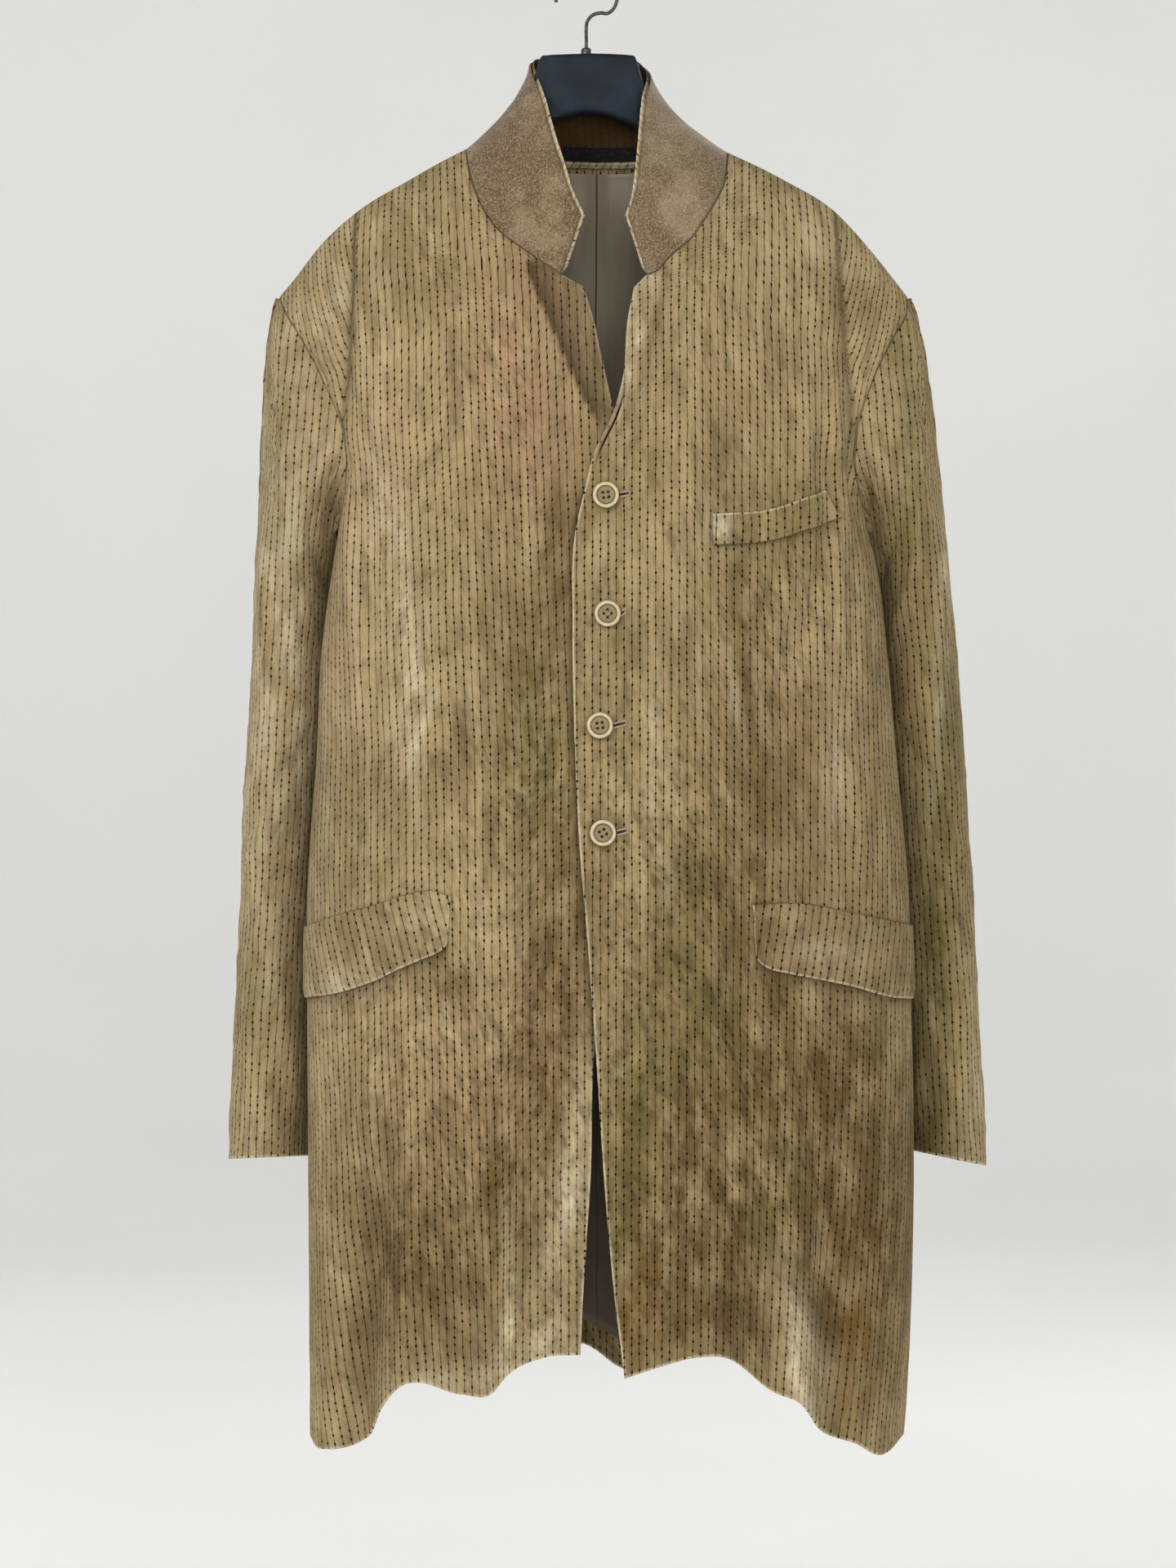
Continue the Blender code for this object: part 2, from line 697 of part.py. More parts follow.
def on_panel(panel, columns, shares_of_row):
    """Points and normals of a panel at broken column and row numbers, along its own grid lines."""
    low_column = np.clip(np.floor(columns).astype(int), 0, panel["out"].shape[1] - 2)
    part = (columns - low_column)[None, :, None]
    result = []
    for key in ("out", "normal"):
        line = panel[key][:, low_column] * (1 - part) + panel[key][:, low_column + 1] * part
        row = np.clip(np.floor(shares_of_row).astype(int), 0, len(line) - 2)
        up = (shares_of_row - row)[..., None]
        spots = np.arange(len(columns))[None, :]
        result.append(line[row, spots] * (1 - up) + line[row + 1, spots] * up)
    return result


def row_of(panel, columns, x_known, z_known):
    """The broken row number at which each column's line crosses a line drawn in x and z."""
    low_column = np.clip(np.floor(columns).astype(int), 0, panel["out"].shape[1] - 2)
    part = (columns - low_column)[None, :, None]
    line = panel["out"][:, low_column] * (1 - part) + panel["out"][:, low_column + 1] * part
    above = line[..., 2] - smooth_at(line[..., 0], x_known, z_known)
    rows = np.arange(len(line))
    return np.array([np.interp(0, above[:, k], rows) for k in range(above.shape[1])])


def column_at(panel, x, z):
    """The broken column number of a panel at x, on the row nearest to z."""
    row = np.abs(panel["out"][:, :, 2].mean(axis=1) - z).argmin()
    line = panel["out"][row, :, 0]
    columns = np.arange(len(line))
    order = np.argsort(line)
    return float(np.interp(x, line[order], columns[order]))


def applied(panel, shape, rows, first_column=None):
    """A piece that lies on a panel between two drawn lines, made from the panel's points, moved out."""
    middle = shape["top"].mean() / 2 + shape["bottom"].mean() / 2
    ends = sorted(column_at(panel, x, middle) for x in (shape["x"][0], shape["x"][-1]))
    if first_column is not None:
        ends[0] = first_column
    whole = np.arange(math.ceil(ends[0] + 0.2), math.floor(ends[1] - 0.2) + 1)
    columns = np.concatenate([[ends[0]], whole, [ends[1]]])
    low = row_of(panel, columns, shape["x"], shape["bottom"])
    high = row_of(panel, columns, shape["x"], shape["top"])
    share = np.linspace(0, 1, rows + 1)[:, None]
    points, normals = on_panel(panel, columns, low * (1 - share) + high * share)
    normals = normals / np.linalg.norm(normals, axis=-1, keepdims=True)
    inner = points + LIFTED * normals
    return inner + FLAP_CLOTH * normals, inner


def true_place(points):
    """What lies in front of the hanger's plane is drawn in towards the line of sight, what lies behind, out."""
    grow = (VIEW_DISTANCE + points[..., 1]) / VIEW_DISTANCE
    x = VIEW_X + (points[..., 0] - VIEW_X) * grow
    z = VIEW_Z + (points[..., 2] - VIEW_Z) * grow
    return np.stack([x, points[..., 1], z], axis=-1)


def new_object(name, mesh, material, collection):
    thing = bpy.data.objects.new(name, mesh)
    thing.data.materials.append(material)
    collection.objects.link(thing)
    return thing


def wall_object(name, outer, inner, material, collection, closed=False):
    """A closed wall between two grids of points: both faces and the rims, every square split the same way."""
    rows, columns = outer.shape[:2]
    points = true_place(np.concatenate([outer.reshape(-1, 3), inner.reshape(-1, 3)])) * MM
    number = np.arange(rows * columns).reshape(rows, columns)
    if closed:
        number = np.concatenate([number, number[:, :1]], axis=1)

    def pairs(a, b, c, d):
        first = np.stack([a.ravel(), b.ravel(), c.ravel()], axis=1)
        return np.concatenate([first, np.stack([a.ravel(), c.ravel(), d.ravel()], axis=1)])

    within = rows * columns
    sheet = pairs(number[:-1, :-1], number[:-1, 1:], number[1:, 1:], number[1:, :-1])
    faces = [sheet, sheet[:, ::-1] + within]
    rims = [number[0], number[-1][::-1]]
    if not closed:
        rims += [number[::-1, 0], number[:, -1]]
    for rim in rims:
        faces.append(pairs(rim[:-1], rim[:-1] + within, rim[1:] + within, rim[1:]))
    mesh = bpy.data.meshes.new(name)
    mesh.from_pydata(points.tolist(), [], np.concatenate(faces).tolist())
    closed_up(mesh)
    return new_object(name, mesh, material, collection)


def closed_up(mesh):
    """Faces point outwards and round stretches shade smooth."""
    shape = bmesh.new()
    shape.from_mesh(mesh)
    bmesh.ops.recalc_face_normals(shape, faces=shape.faces)
    shape.to_mesh(mesh)
    shape.free()
    mesh.shade_smooth()
    mesh.set_sharp_from_angle(angle=math.radians(50))


def finish(name, colour, roughness, metallic=0.0):
    material = bpy.data.materials.new(name)
    material.use_nodes = True
    shader = material.node_tree.nodes["Principled BSDF"]
    shader.inputs["Base Color"].default_value = (*colour, 1)
    shader.inputs["Roughness"].default_value = roughness
    shader.inputs["Metallic"].default_value = metallic
    return material


def cylinder(name, radius, depth, place, collection, sides=16):
    """A standing cylinder that cuts another piece."""
    mesh = bpy.data.meshes.new(name)
    shape = bmesh.new()
    bmesh.ops.create_cone(
        shape, cap_ends=True, segments=sides, radius1=radius, radius2=radius, depth=depth
    )
    shape.to_mesh(mesh)
    shape.free()
    thing = bpy.data.objects.new(name, mesh)
    thing.location = place
    thing.hide_render = True
    thing.display_type = "WIRE"
    collection.objects.link(thing)
    return thing


def cut(thing, cutter):
    modifier = thing.modifiers.new(f"cut by {cutter.name}", "BOOLEAN")
    modifier.operation = "DIFFERENCE"
    modifier.object = cutter


def turned(name, radii, heights, steps, material, collection):
    """A profile turned about Z, from the bottom middle round to the top middle."""
    mesh = bpy.data.meshes.new(name)
    points = [(radius * MM, 0, height * MM) for radius, height in zip(radii, heights)]
    mesh.from_pydata(points, [(k, k + 1) for k in range(len(points) - 1)], [])
    thing = new_object(name, mesh, material, collection)
    screw = thing.modifiers.new("turned", "SCREW")
    screw.angle = math.tau
    screw.steps = steps
    screw.render_steps = steps
    screw.use_merge_vertices = True
    screw.merge_threshold = 0.00001
    screw.use_normal_calculate = True
    return thing


def button(number, place_x, place_z, panel, material, collection, cutters):
    """A four-holed button with a raised rim, lying on the left front."""
    column = column_at(panel, place_x, place_z)
    rows = row_of(panel, np.array([column]), np.array([-400.0, 400.0]), np.array([place_z, place_z]))
    point, normal = on_panel(panel, np.array([column]), rows[None, :])
    normal = normal[0, 0] / np.linalg.norm(normal[0, 0])
    seat = true_place(point[0, 0] + BUTTON_LIFT * normal) * MM
    name = f"button_{number}"
    thing = turned(name, BUTTON_PROFILE["radius"], BUTTON_PROFILE["height"], 18, material, collection)
    thing.rotation_euler = turn_to(normal)
    thing.location = seat
    for k in range(4):
        angle = math.pi / 4 + k * math.pi / 2
        spot = np.array([math.cos(angle), math.sin(angle), 0]) * HOLE_SPREAD * MM
        cutter = cylinder(f"{name}_hole_{k}", HOLE_RADIUS * MM, 0.02, spot, cutters, sides=6)
        cutter.parent = thing
        cut(thing, cutter)
    return thing


def turn_to(normal):
    """The rotation that lays +Z along a direction that points mostly to the front."""
    lean = math.acos(max(-1, min(1, normal[2])))
    swing = math.atan2(normal[1], normal[0])
    return (0, lean, swing)


def hanger(material, collection, cutters):
    """Arms and neck block in one: a row of rounded sections along X, closed at both ends."""
    around = np.arange(HANGER_SIDES) / HANGER_SIDES * math.tau
    across = np.sign(np.sin(around)) * np.abs(np.sin(around)) ** 1.4
    upward = np.sign(np.cos(around)) * np.abs(np.cos(around)) ** 0.8
    slope = (ridge(HANGER["x"] + 1) - ridge(HANGER["x"] - 1)) / 2
    under_cloth = ridge(HANGER["x"]) - (CLOTH + HANGER_EASE) * np.sqrt(1 + slope**2)
    in_shoulder = (HANGER["x"] <= RIGHT_NECK_X) | (HANGER["x"] >= LEFT_NECK_X)
    top = np.where(in_shoulder, np.minimum(HANGER["top"], under_cloth), HANGER["top"])
    middle = (top + HANGER["bottom"]) / 2
    tall = (top - HANGER["bottom"]) / 2
    x = np.repeat(HANGER["x"][:, None], HANGER_SIDES, axis=1)
    y = HANGER["thick"][:, None] * across
    z = middle[:, None] + tall[:, None] * upward
    rings = np.stack([x, y, z], axis=-1)
    count = len(rings)
    points = rings.reshape(-1, 3) * MM
    number = np.arange(count * HANGER_SIDES).reshape(count, HANGER_SIDES)
    wrapped = np.concatenate([number, number[:, :1]], axis=1)
    faces = np.stack(
        [wrapped[:-1, :-1], wrapped[:-1, 1:], wrapped[1:, 1:], wrapped[1:, :-1]], axis=-1
    ).reshape(-1, 4).tolist()
    faces += [number[0].tolist(), number[-1][::-1].tolist()]
    mesh = bpy.data.meshes.new("hanger")
    mesh.from_pydata(points.tolist(), [], faces)
    closed_up(mesh)
    thing = new_object("hanger", mesh, material, collection)
    bore_depth = 2 * (BLOCK_TOP - STEM_FOOT + SEAM) * MM
    bore = cylinder(
        "hook_bore", (WIRE_RADIUS + SEAM) * MM, bore_depth, (0, 0, BLOCK_TOP * MM), cutters, sides=10
    )
    cut(thing, bore)
    return thing


def hook_route():
    """Up the stem, out through an S-bend, and round the arc that lies over the rail."""
    centre_z = WIRE_RADIUS - HOOK_RADIUS
    stem = [(0.0, STEM_FOOT), (0.0, (STEM_FOOT + STEM_TOP) / 2), (0.0, STEM_TOP)]
    bend = [(1.2, -44.2), (5.2, -40.0), (11.0, -38.4), (17.0, -38.6)]
    angles = np.linspace(*np.radians(HOOK_ARC), 20)
    arc = [
        (HOOK_RADIUS * math.cos(angle), centre_z + HOOK_RADIUS * math.sin(angle)) for angle in angles
    ]
    return stem + bend + arc


def hook(material, collection):
    """A bent wire, round in section, standing in the hanger's block."""
    route = hook_route()
    curve = bpy.data.curves.new("hook", "CURVE")
    curve.dimensions = "3D"
    curve.bevel_depth = WIRE_RADIUS * MM
    curve.bevel_resolution = 1
    curve.use_fill_caps = True
    spline = curve.splines.new("POLY")
    spline.points.add(len(route) - 1)
    for point, (x, z) in zip(spline.points, route):
        point.co = (x * MM, 0, z * MM, 1)
    return new_object("hook", curve, material, collection)


def ferrule(material, collection):
    """The ring where the wire enters the block."""
    bore = WIRE_RADIUS + SEAM
    foot = BLOCK_TOP + SEAM
    mesh = bpy.data.meshes.new("hook_ferrule")
    profile = [
        (FERRULE_RADIUS, foot),
        (FERRULE_RADIUS, foot + FERRULE_HEIGHT - 1),
        (FERRULE_RADIUS - 1, foot + FERRULE_HEIGHT),
        (bore, foot + FERRULE_HEIGHT),
        (bore, foot),
    ]
    points = [(radius * MM, 0, height * MM) for radius, height in profile]
    edges = [(k, (k + 1) % len(points)) for k in range(len(points))]
    mesh.from_pydata(points, edges, [])
    thing = new_object("hook_ferrule", mesh, material, collection)
    screw = thing.modifiers.new("turned", "SCREW")
    screw.angle = math.tau
    screw.steps = 12
    screw.render_steps = 12
    screw.use_merge_vertices = True
    screw.merge_threshold = 0.00001
    screw.use_normal_calculate = True
    return thing


def back_lining(back):
    """The lining of the back, sewn in just under the neck seam and hanging to short of the hem."""
    columns = np.arange(3, back["in"].shape[1] - 3)
    rows = np.concatenate([[0.6], np.arange(2, LOWER_ROWS + UPPER_ROWS - 3, 2), [LOWER_ROWS + UPPER_ROWS - 0.6]])
    base = {"out": back["in"], "normal": back["normal"]}
    grid = np.repeat(rows[:, None], len(columns), axis=1)
    points, normals = on_panel(base, columns.astype(float), grid)
    normals = normals / np.linalg.norm(normals, axis=-1, keepdims=True)
    ease = np.full((len(rows), len(columns), 1), LINING_EASE)
    at_neck = np.abs(points[-1, :, 0] - 8) < 60
    ease[-1, at_neck] = SEAM + 0.05
    outer = points - ease * normals
    return outer, outer - LINING * normals


def label(top_collar):
    """A bare tape on the inner side of the top collar, just above the neck seam."""
    grid = top_collar[1]
    middle = grid.shape[1] // 2
    columns = slice(middle - 1, middle + 2)
    low = grid[0, columns] * 0.95 + grid[1, columns] * 0.05
    high = grid[0, columns] * 0.35 + grid[1, columns] * 0.65
    outwards = np.array([0.0, 1.0, 0.0])
    near = np.stack([low, high]) - LABEL_LIFT * outwards
    return near, near - LABEL_TAPE * outwards


def main():
    for thing in list(bpy.data.objects):
        bpy.data.objects.remove(thing)
    parts = bpy.data.collections.new(OBJECT_NAME)
    cutters = bpy.data.collections.new("cutters")
    for collection in (parts, cutters):
        bpy.context.scene.collection.children.link(collection)

    cloth = finish("striped_cloth", (0.30, 0.24, 0.14), 0.9)
    felt = finish("collar_felt", (0.22, 0.15, 0.09), 0.95)
    lining_cloth = finish("lining_satin", (0.12, 0.10, 0.075), 0.6)
    tape = finish("label_tape", (0.015, 0.014, 0.014), 0.7)
    horn = finish("button_horn", (0.42, 0.32, 0.18), 0.35)
    plastic = finish("hanger_plastic", (0.032, 0.042, 0.052), 0.55)
    wire = finish("hook_wire", (0.55, 0.55, 0.53), 0.3, 1.0)

    front_right = front_panel("right")
    front_left = front_panel("left")
    back = back_panel()
    wall_object("front_right", front_right["out"], front_right["in"], cloth, parts)
    wall_object("front_left", front_left["out"], front_left["in"], cloth, parts)
    wall_object("back", back["out"], back["in"], cloth, parts)
    wall_object("sleeve_right", *sleeve("right", front_right, back), cloth, parts, closed=True)
    wall_object("sleeve_left", *sleeve("left", front_left, back), cloth, parts, closed=True)
    under, top = collar(front_right, back, front_left)
    wall_object("undercollar", *under, felt, parts)
    wall_object("top_collar", *top, cloth, parts)
    wall_object("back_lining", *back_lining(back), lining_cloth, parts)
    wall_object("label", *label(top), tape, parts)
    wall_object("flap_right", *applied(front_right, RIGHT_FLAP, FLAP_ROWS, POCKET_END), cloth, parts)
    wall_object("flap_left", *applied(front_left, LEFT_FLAP, FLAP_ROWS, POCKET_END), cloth, parts)
    wall_object("chest_welt", *applied(front_left, CHEST_WELT, WELT_ROWS), cloth, parts)
    for k, (x, z) in enumerate(zip(BUTTON_PLACES["x"], BUTTON_PLACES["z"])):
        button(k + 1, x, z, front_left, horn, parts, cutters)
    hanger(plastic, parts, cutters)
    hook(wire, parts)
    ferrule(wire, parts)


main()
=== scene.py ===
"""The looks of a long pinstriped coat that hangs, buttoned, from its hanger's hook.

Every new piece is a surface worked out with numpy from the tables below, in millimetres and as it looks from
VIEW_DISTANCE in front; true_place() then draws in what is nearer and out what is further away. X runs to the
wearer's left, -Y is the front and +Z is up. The origin is the inside top of the hook.
"""
import math

import bmesh
import bpy
import numpy as np
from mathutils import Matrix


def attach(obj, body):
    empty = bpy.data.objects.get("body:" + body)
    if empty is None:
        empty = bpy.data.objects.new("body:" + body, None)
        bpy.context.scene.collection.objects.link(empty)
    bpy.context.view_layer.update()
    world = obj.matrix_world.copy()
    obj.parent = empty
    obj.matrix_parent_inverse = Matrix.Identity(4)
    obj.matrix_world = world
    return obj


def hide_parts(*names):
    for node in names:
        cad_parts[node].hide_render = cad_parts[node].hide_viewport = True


bl_info = {
    "name": "Pinstripe Coat",
    "version": (1, 0, 0),
    "blender": (4, 5, 0),
    "location": "3D View > Sidebar > Coat",
    "description": "Dresses a long buttoned coat on its hanger",
    "category": "Add Mesh",
}

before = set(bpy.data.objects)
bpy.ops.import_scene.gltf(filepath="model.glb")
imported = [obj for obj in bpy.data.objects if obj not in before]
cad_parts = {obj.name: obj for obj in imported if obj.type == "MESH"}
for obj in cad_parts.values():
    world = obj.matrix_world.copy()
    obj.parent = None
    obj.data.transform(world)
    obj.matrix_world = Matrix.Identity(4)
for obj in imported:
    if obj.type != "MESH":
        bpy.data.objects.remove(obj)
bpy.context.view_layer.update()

MM = 0.001
SEED = 7

# The photograph's view
FRAME_HEIGHT = 1920  # pixels
MM_PER_PIXEL = 0.64
VIEW_DISTANCE = 3000.0
VIEW_X = 1.3
VIEW_Z = -642.6
SENSOR = 36.0

# The right front's stripes lean above the waist
GRAIN_LEAN = {"right": 0.035, "left": 0.0}
WAIST_Z = -620.0

# The cloth, and what is sewn to it
CLOTH = 2.0
FELT = 1.2
TOP_COLLAR = 1.2
LINING = 1.0
LINING_EASE = 3.5
FLAP_CLOTH = 2.2
LEAST_CUT = 0.011  # metres
SEAM = 0.3
UNDERARM_EASE = 2.4
LIFTED = 0.5
OVERLAP = 2.7
COLLAR_SEAM = 0.5
COLLAR_EASE = 0.8
COLLAR_HOLLOW = 8.0
EDGE_SHOWN = 2.5
BACK_NECK_DROP = 11.0
ROLL_LEAN = 0.42
UNDERARM_Z = -438.0
SEAM_HEM_Z = -1151.0
HEM_LEVEL = -1130.0
ROUND = 0.28
SIDE_ANGLE = math.pi / 2
RIGHT_SHOULDER_X, LEFT_SHOULDER_X = -241.0, 252.0
RIGHT_NECK_X, LEFT_NECK_X = -95.0, 111.0
INSIDE = np.array([8.0, 0.0, -700.0])
MIDDLE_X = 8.0

# A panel's rows are numbered from 0 at the hem, by 18 at the underarm, to 30 at the shoulder
UNDERARM_ROW, LAPEL_ROW, NOTCH_ROW, TOP_ROW = 18, 24, 25, 30
LOWER_LINES, UPPER_LINES = 9, 7  # lines for each row, below and above the underarm
FRONT_LINES, BACK_LINES = 80, 150
BACK_COLUMNS, NECK_FROM, NECK_TO = 18, 5, 13
CLOSE_LINES = (0.3, 0.8, 1.6, 3.0)  # extra lines this far from a rounded edge


def table(columns, *rows):
    """A short table, as one array for each named column."""
    return dict(zip(columns.split(), np.array(rows, float).T))


SHOULDER = table(
    "x z",
    (-262, -296),
    (-245, -266),
    (-229, -246),
    (-209, -220),
    (-182, -195),
    (-140, -169),
    (-95, -144.6),
    (-45, -126),
    (8, -119),
    (61, -127),
    (111, -147),
    (156, -169),
    (197, -195),
    (220, -220),
    (241, -246),
    (257, -267.5),
    (275, -298),
)
BODY = table(
    "z centre half fuller",
    (-1180, 16.0, 231.0, 24),
    (-1116, 17.7, 234.0, 22),
    (-956, 19.3, 237.3, 17),
    (-822, 18.0, 237.0, 12),
    (-731, 17.0, 236.0, 9),
    (-609, 15.5, 226.5, 6),
    (-540, 14.0, 222.0, 3),
    (-470, 14.3, 213.0, 1),
    (-438, 13.0, 206.5, 0),
    (-391, 11.5, 207.0, 0),
    (-362, 10.5, 223.0, 0),
    (-324, 9.0, 246.0, 0),
    (-276, 8.0, 271.0, 0),
    (-100, 8.0, 276.0, 0),
)
ARMHOLE = table(
    "z front back",
    (-438, 1.0, 1.0),
    (-424, 0.998, 0.995),
    (-408, 0.99, 0.975),
    (-391, 0.965, 0.945),
    (-362, 0.912, 0.91),
    (-324, 0.882, 0.89),
    (-290, 0.885, 0.892),
    (-276, 0.895, 0.898),
)
LEFT_EDGE = table(
    "z x",
    (-1108.5, 30),
    (-1045, 22),
    (-955, 14),
    (-858, 7.7),
    (-776, 1.6),
    (-682, -6),
    (-585, -10),
    (-517, -11),
    (-446, -9),
    (-410, -1),
    (-383, 6),
    (-353, 20),
    (-325, 28),
    (-278, 32),
    (-253, 37),
)
RIGHT_EDGE = table(
    "z x",
    (-1090, -4.6),
    (-1036, -2),
    (-948, 3.5),
    (-858, 6),
    (-776, 15),
    (-682, 25),
    (-585, 30),
    (-480, 32),
    (-420, 31),
    (-380, 28),
    (-346, 21),
    (-301, 11),
    (-278, 6),
    (-252.5, -2),
)
LEFT_NECK = table(
    "x z",
    (46.5, -243.5),
    (56, -240),
    (67, -228),
    (82, -215),
    (91.5, -202),
    (101, -187),
    (108, -173),
    (110, -161),
    (111, -147),
)
RIGHT_NECK = table(
    "x z",
    (-19, -243),
    (-39, -230),
    (-54, -220),
    (-68.5, -209),
    (-81.5, -191),
    (-89, -173),
    (-93, -158),
    (-95, -144.6),
)
ARM_FOLD = table(
    "z right left",
    (-410, -194, 211),
    (-374, -190.7, 208.5),
    (-330, -185.6, 204),
    (-190, -179, 193),
)
ARM_FOLD_LOW = -376.0
ARM_LEAN = 0.27
ROLL = table("z left right", (-395, 12, 12), (-365, 25, 9), (-325, 40, -10), (-293, 48, -24), (-240, 61, -47))
RIGHT_HEM = table(
    "x z",
    (-216, -1151),
    (-211, -1160),
    (-201, -1164),
    (-181, -1154),
    (-161, -1132),
    (-143, -1115),
    (-98, -1121),
    (-75, -1121),
    (-60, -1105),
    (-33, -1092),
    (-4.6, -1090),
)
LEFT_HEM = table(
    "x z",
    (30, -1108.5),
    (57, -1099.5),
    (81, -1093),
    (114, -1094),
    (145, -1119),
    (165, -1128),
    (192, -1151),
    (212, -1159),
    (240, -1166),
    (252, -1151),
)
BACK_HEM = table(
    "angle z",
    (-90, -1151),
    (-72, -1158),
    (-56, -1142),
    (-44, -1108),
    (-28, -1112),
    (-14, -1085),
    (-5, -1081),
    (3, -1101),
    (12, -1090),
    (22, -1086),
    (34, -1112),
    (48, -1143),
    (66, -1158),
    (90, -1151),
)

# Folds and creases: lower end, upper end, width, and how far the cloth stands out (in, if negative)
FOLD_COLUMNS = "low_x low_z high_x high_z width out"
CREASE_DEPTH = 1.9
FRONT_FOLDS = table(
    FOLD_COLUMNS,
    (-184, -1180, -150, -830, 13, -13),
    (-205, -1180, -196, -900, 12, 5),
    (-150, -1180, -124, -880, 16, 7),
    (-66, -1180, -60, -960, 13, 6),
    (-92, -1180, -96, -900, 14, -4),
    (126, -1180, 116, -960, 14, -8),
    (160, -1180, 168, -900, 15, 9),
    (192, -1180, 186, -950, 13, -9),
    (84, -1180, 78, -900, 16, 4),
    (-192, -400, -180, -190, 6, -6),
    (210, -405, 193, -190, 6, -6),
    (-62, -560, -96, -330, 16, -3),
    (78, -560, 104, -330, 16, -3),
)
FRONT_CREASES = table(
    FOLD_COLUMNS,
    (-178, -640, -186, -330, 9, 2.2),
    (-163, -700, -170, -380, 8, -1.6),
    (-146, -620, -132, -300, 11, 1.4),
    (-118, -560, -112, -250, 9, -1.3),
    (-96, -420, -74, -230, 7, -1.8),
    (-84, -400, -60, -235, 6, 1.5),
    (-60, -420, -38, -262, 6, -1.8),
    (-48, -450, -22, -285, 6, 1.6),
    (-34, -640, -20, -450, 9, -1.3),
    (-58, -800, -40, -600, 10, 1.3),
    (-10, -900, -14, -700, 8, -1.2),
    (-82, -930, -92, -740, 12, 1.8),
    (-120, -1010, -126, -820, 12, -1.8),
    (-36, -1060, -30, -860, 10, -1.8),
    (-18, -1110, -12, -930, 9, 1.8),
    (-160, -1000, -172, -840, 10, 2.2),
    (205, -640, 196, -290, 9, 2.6),
    (190, -560, 182, -270, 8, -2.2),
    (176, -520, 170, -300, 8, 1.4),
    (222, -760, 208, -560, 10, 2.0),
    (206, -740, 198, -540, 9, -1.6),
    (134, -530, 156, -452, 6, -2.8),
    (146, -545, 168, -458, 5, 2.4),
    (118, -600, 134, -470, 7, 2.0),
    (152, -610, 160, -500, 7, -2.2),
    (162, -560, 186, -462, 6, -2.0),
    (88, -400, 98, -240, 9, -1.5),
    (66, -390, 80, -250, 7, 1.5),
    (50, -470, 60, -340, 7, -1.4),
    (46, -980, 42, -780, 12, -1.8),
    (66, -1040, 60, -860, 10, 2.0),
    (102, -900, 96, -700, 12, 1.6),
    (136, -960, 124, -790, 11, -1.8),
    (150, -860, 168, -600, 12, 1.2),
    (30, -660, 36, -520, 9, 1.0),
)
BACK_FOLDS = table(
    FOLD_COLUMNS,
    (-140, -1180, -120, -800, 18, -12),
    (-96, -1180, -92, -760, 16, 6),
    (8, -1180, 8, -700, 22, -8),
    (108, -1180, 92, -780, 16, 6),
    (154, -1180, 136, -830, 18, -12),
    (-190, -390, -180, -215, 8, -4),
    (208, -400, 192, -205, 8, -4),
    (-110, -560, -130, -340, 18, -4),
    (122, -560, 140, -340, 18, -4),
)
BACK_CREASES = table(
    FOLD_COLUMNS,
    (-176, -650, -182, -320, 10, 2.2),
    (-158, -640, -160, -330, 9, -1.8),
    (-128, -520, -104, -230, 9, 1.6),
    (-96, -480, -70, -220, 8, -1.6),
    (-60, -430, -36, -190, 8, 1.5),
    (-30, -620, -22, -330, 10, -1.4),
    (14, -520, 12, -200, 8, -1.2),
    (44, -620, 38, -330, 10, 1.4),
    (70, -430, 54, -190, 8, 1.6),
    (108, -480, 84, -220, 8, -1.7),
    (140, -530, 122, -240, 9, 1.6),
    (176, -640, 176, -330, 9, -2.0),
    (194, -650, 198, -320, 10, 2.2),
    (-64, -900, -70, -640, 12, 1.8),
    (-118, -860, -126, -620, 12, -1.6),
    (72, -920, 78, -660, 12, -1.8),
    (124, -880, 134, -630, 12, 1.7),
    (-40, -1100, -36, -860, 12, 2.0),
    (52, -1110, 48, -880, 12, -2.0),
    (-176, -1010, -180, -760, 11, 2.0),
    (192, -1010, 196, -770, 11, 2.0),
)
SLEEVE = table(
    "z right_x left_x right_y left_y long broad turn",
    (-490, -260.5, 286.5, 50, 59, 67, 32, 14),
    (-540, -262.0, 290.0, 55, 63, 67, 32, 14),
    (-604, -265.0, 294.5, 57, 64, 65, 32, 13),
    (-668, -268.5, 299.0, 58, 64, 63, 32, 13),
    (-732, -271.5, 303.0, 57, 64, 60, 31.5, 12),
    (-796, -275.0, 307.0, 55, 63, 57, 31.5, 12),
    (-866, -278.5, 310.5, 48, 62, 55, 31.5, 12),
    (-935, -281.0, 313.5, 46, 61, 54, 31.5, 12),
)
CUFF_SLANT = {"right": 0.04, "left": 0.2}
CUFF_SLANT_REACH = 80.0
CAP_LINES, TUBE_LINES = 36, 140
CAP_LEAN = 18.0
SLEEVE_MIDDLE = 34.0
SLEEVE_CREASE_DEPTH = 1.1
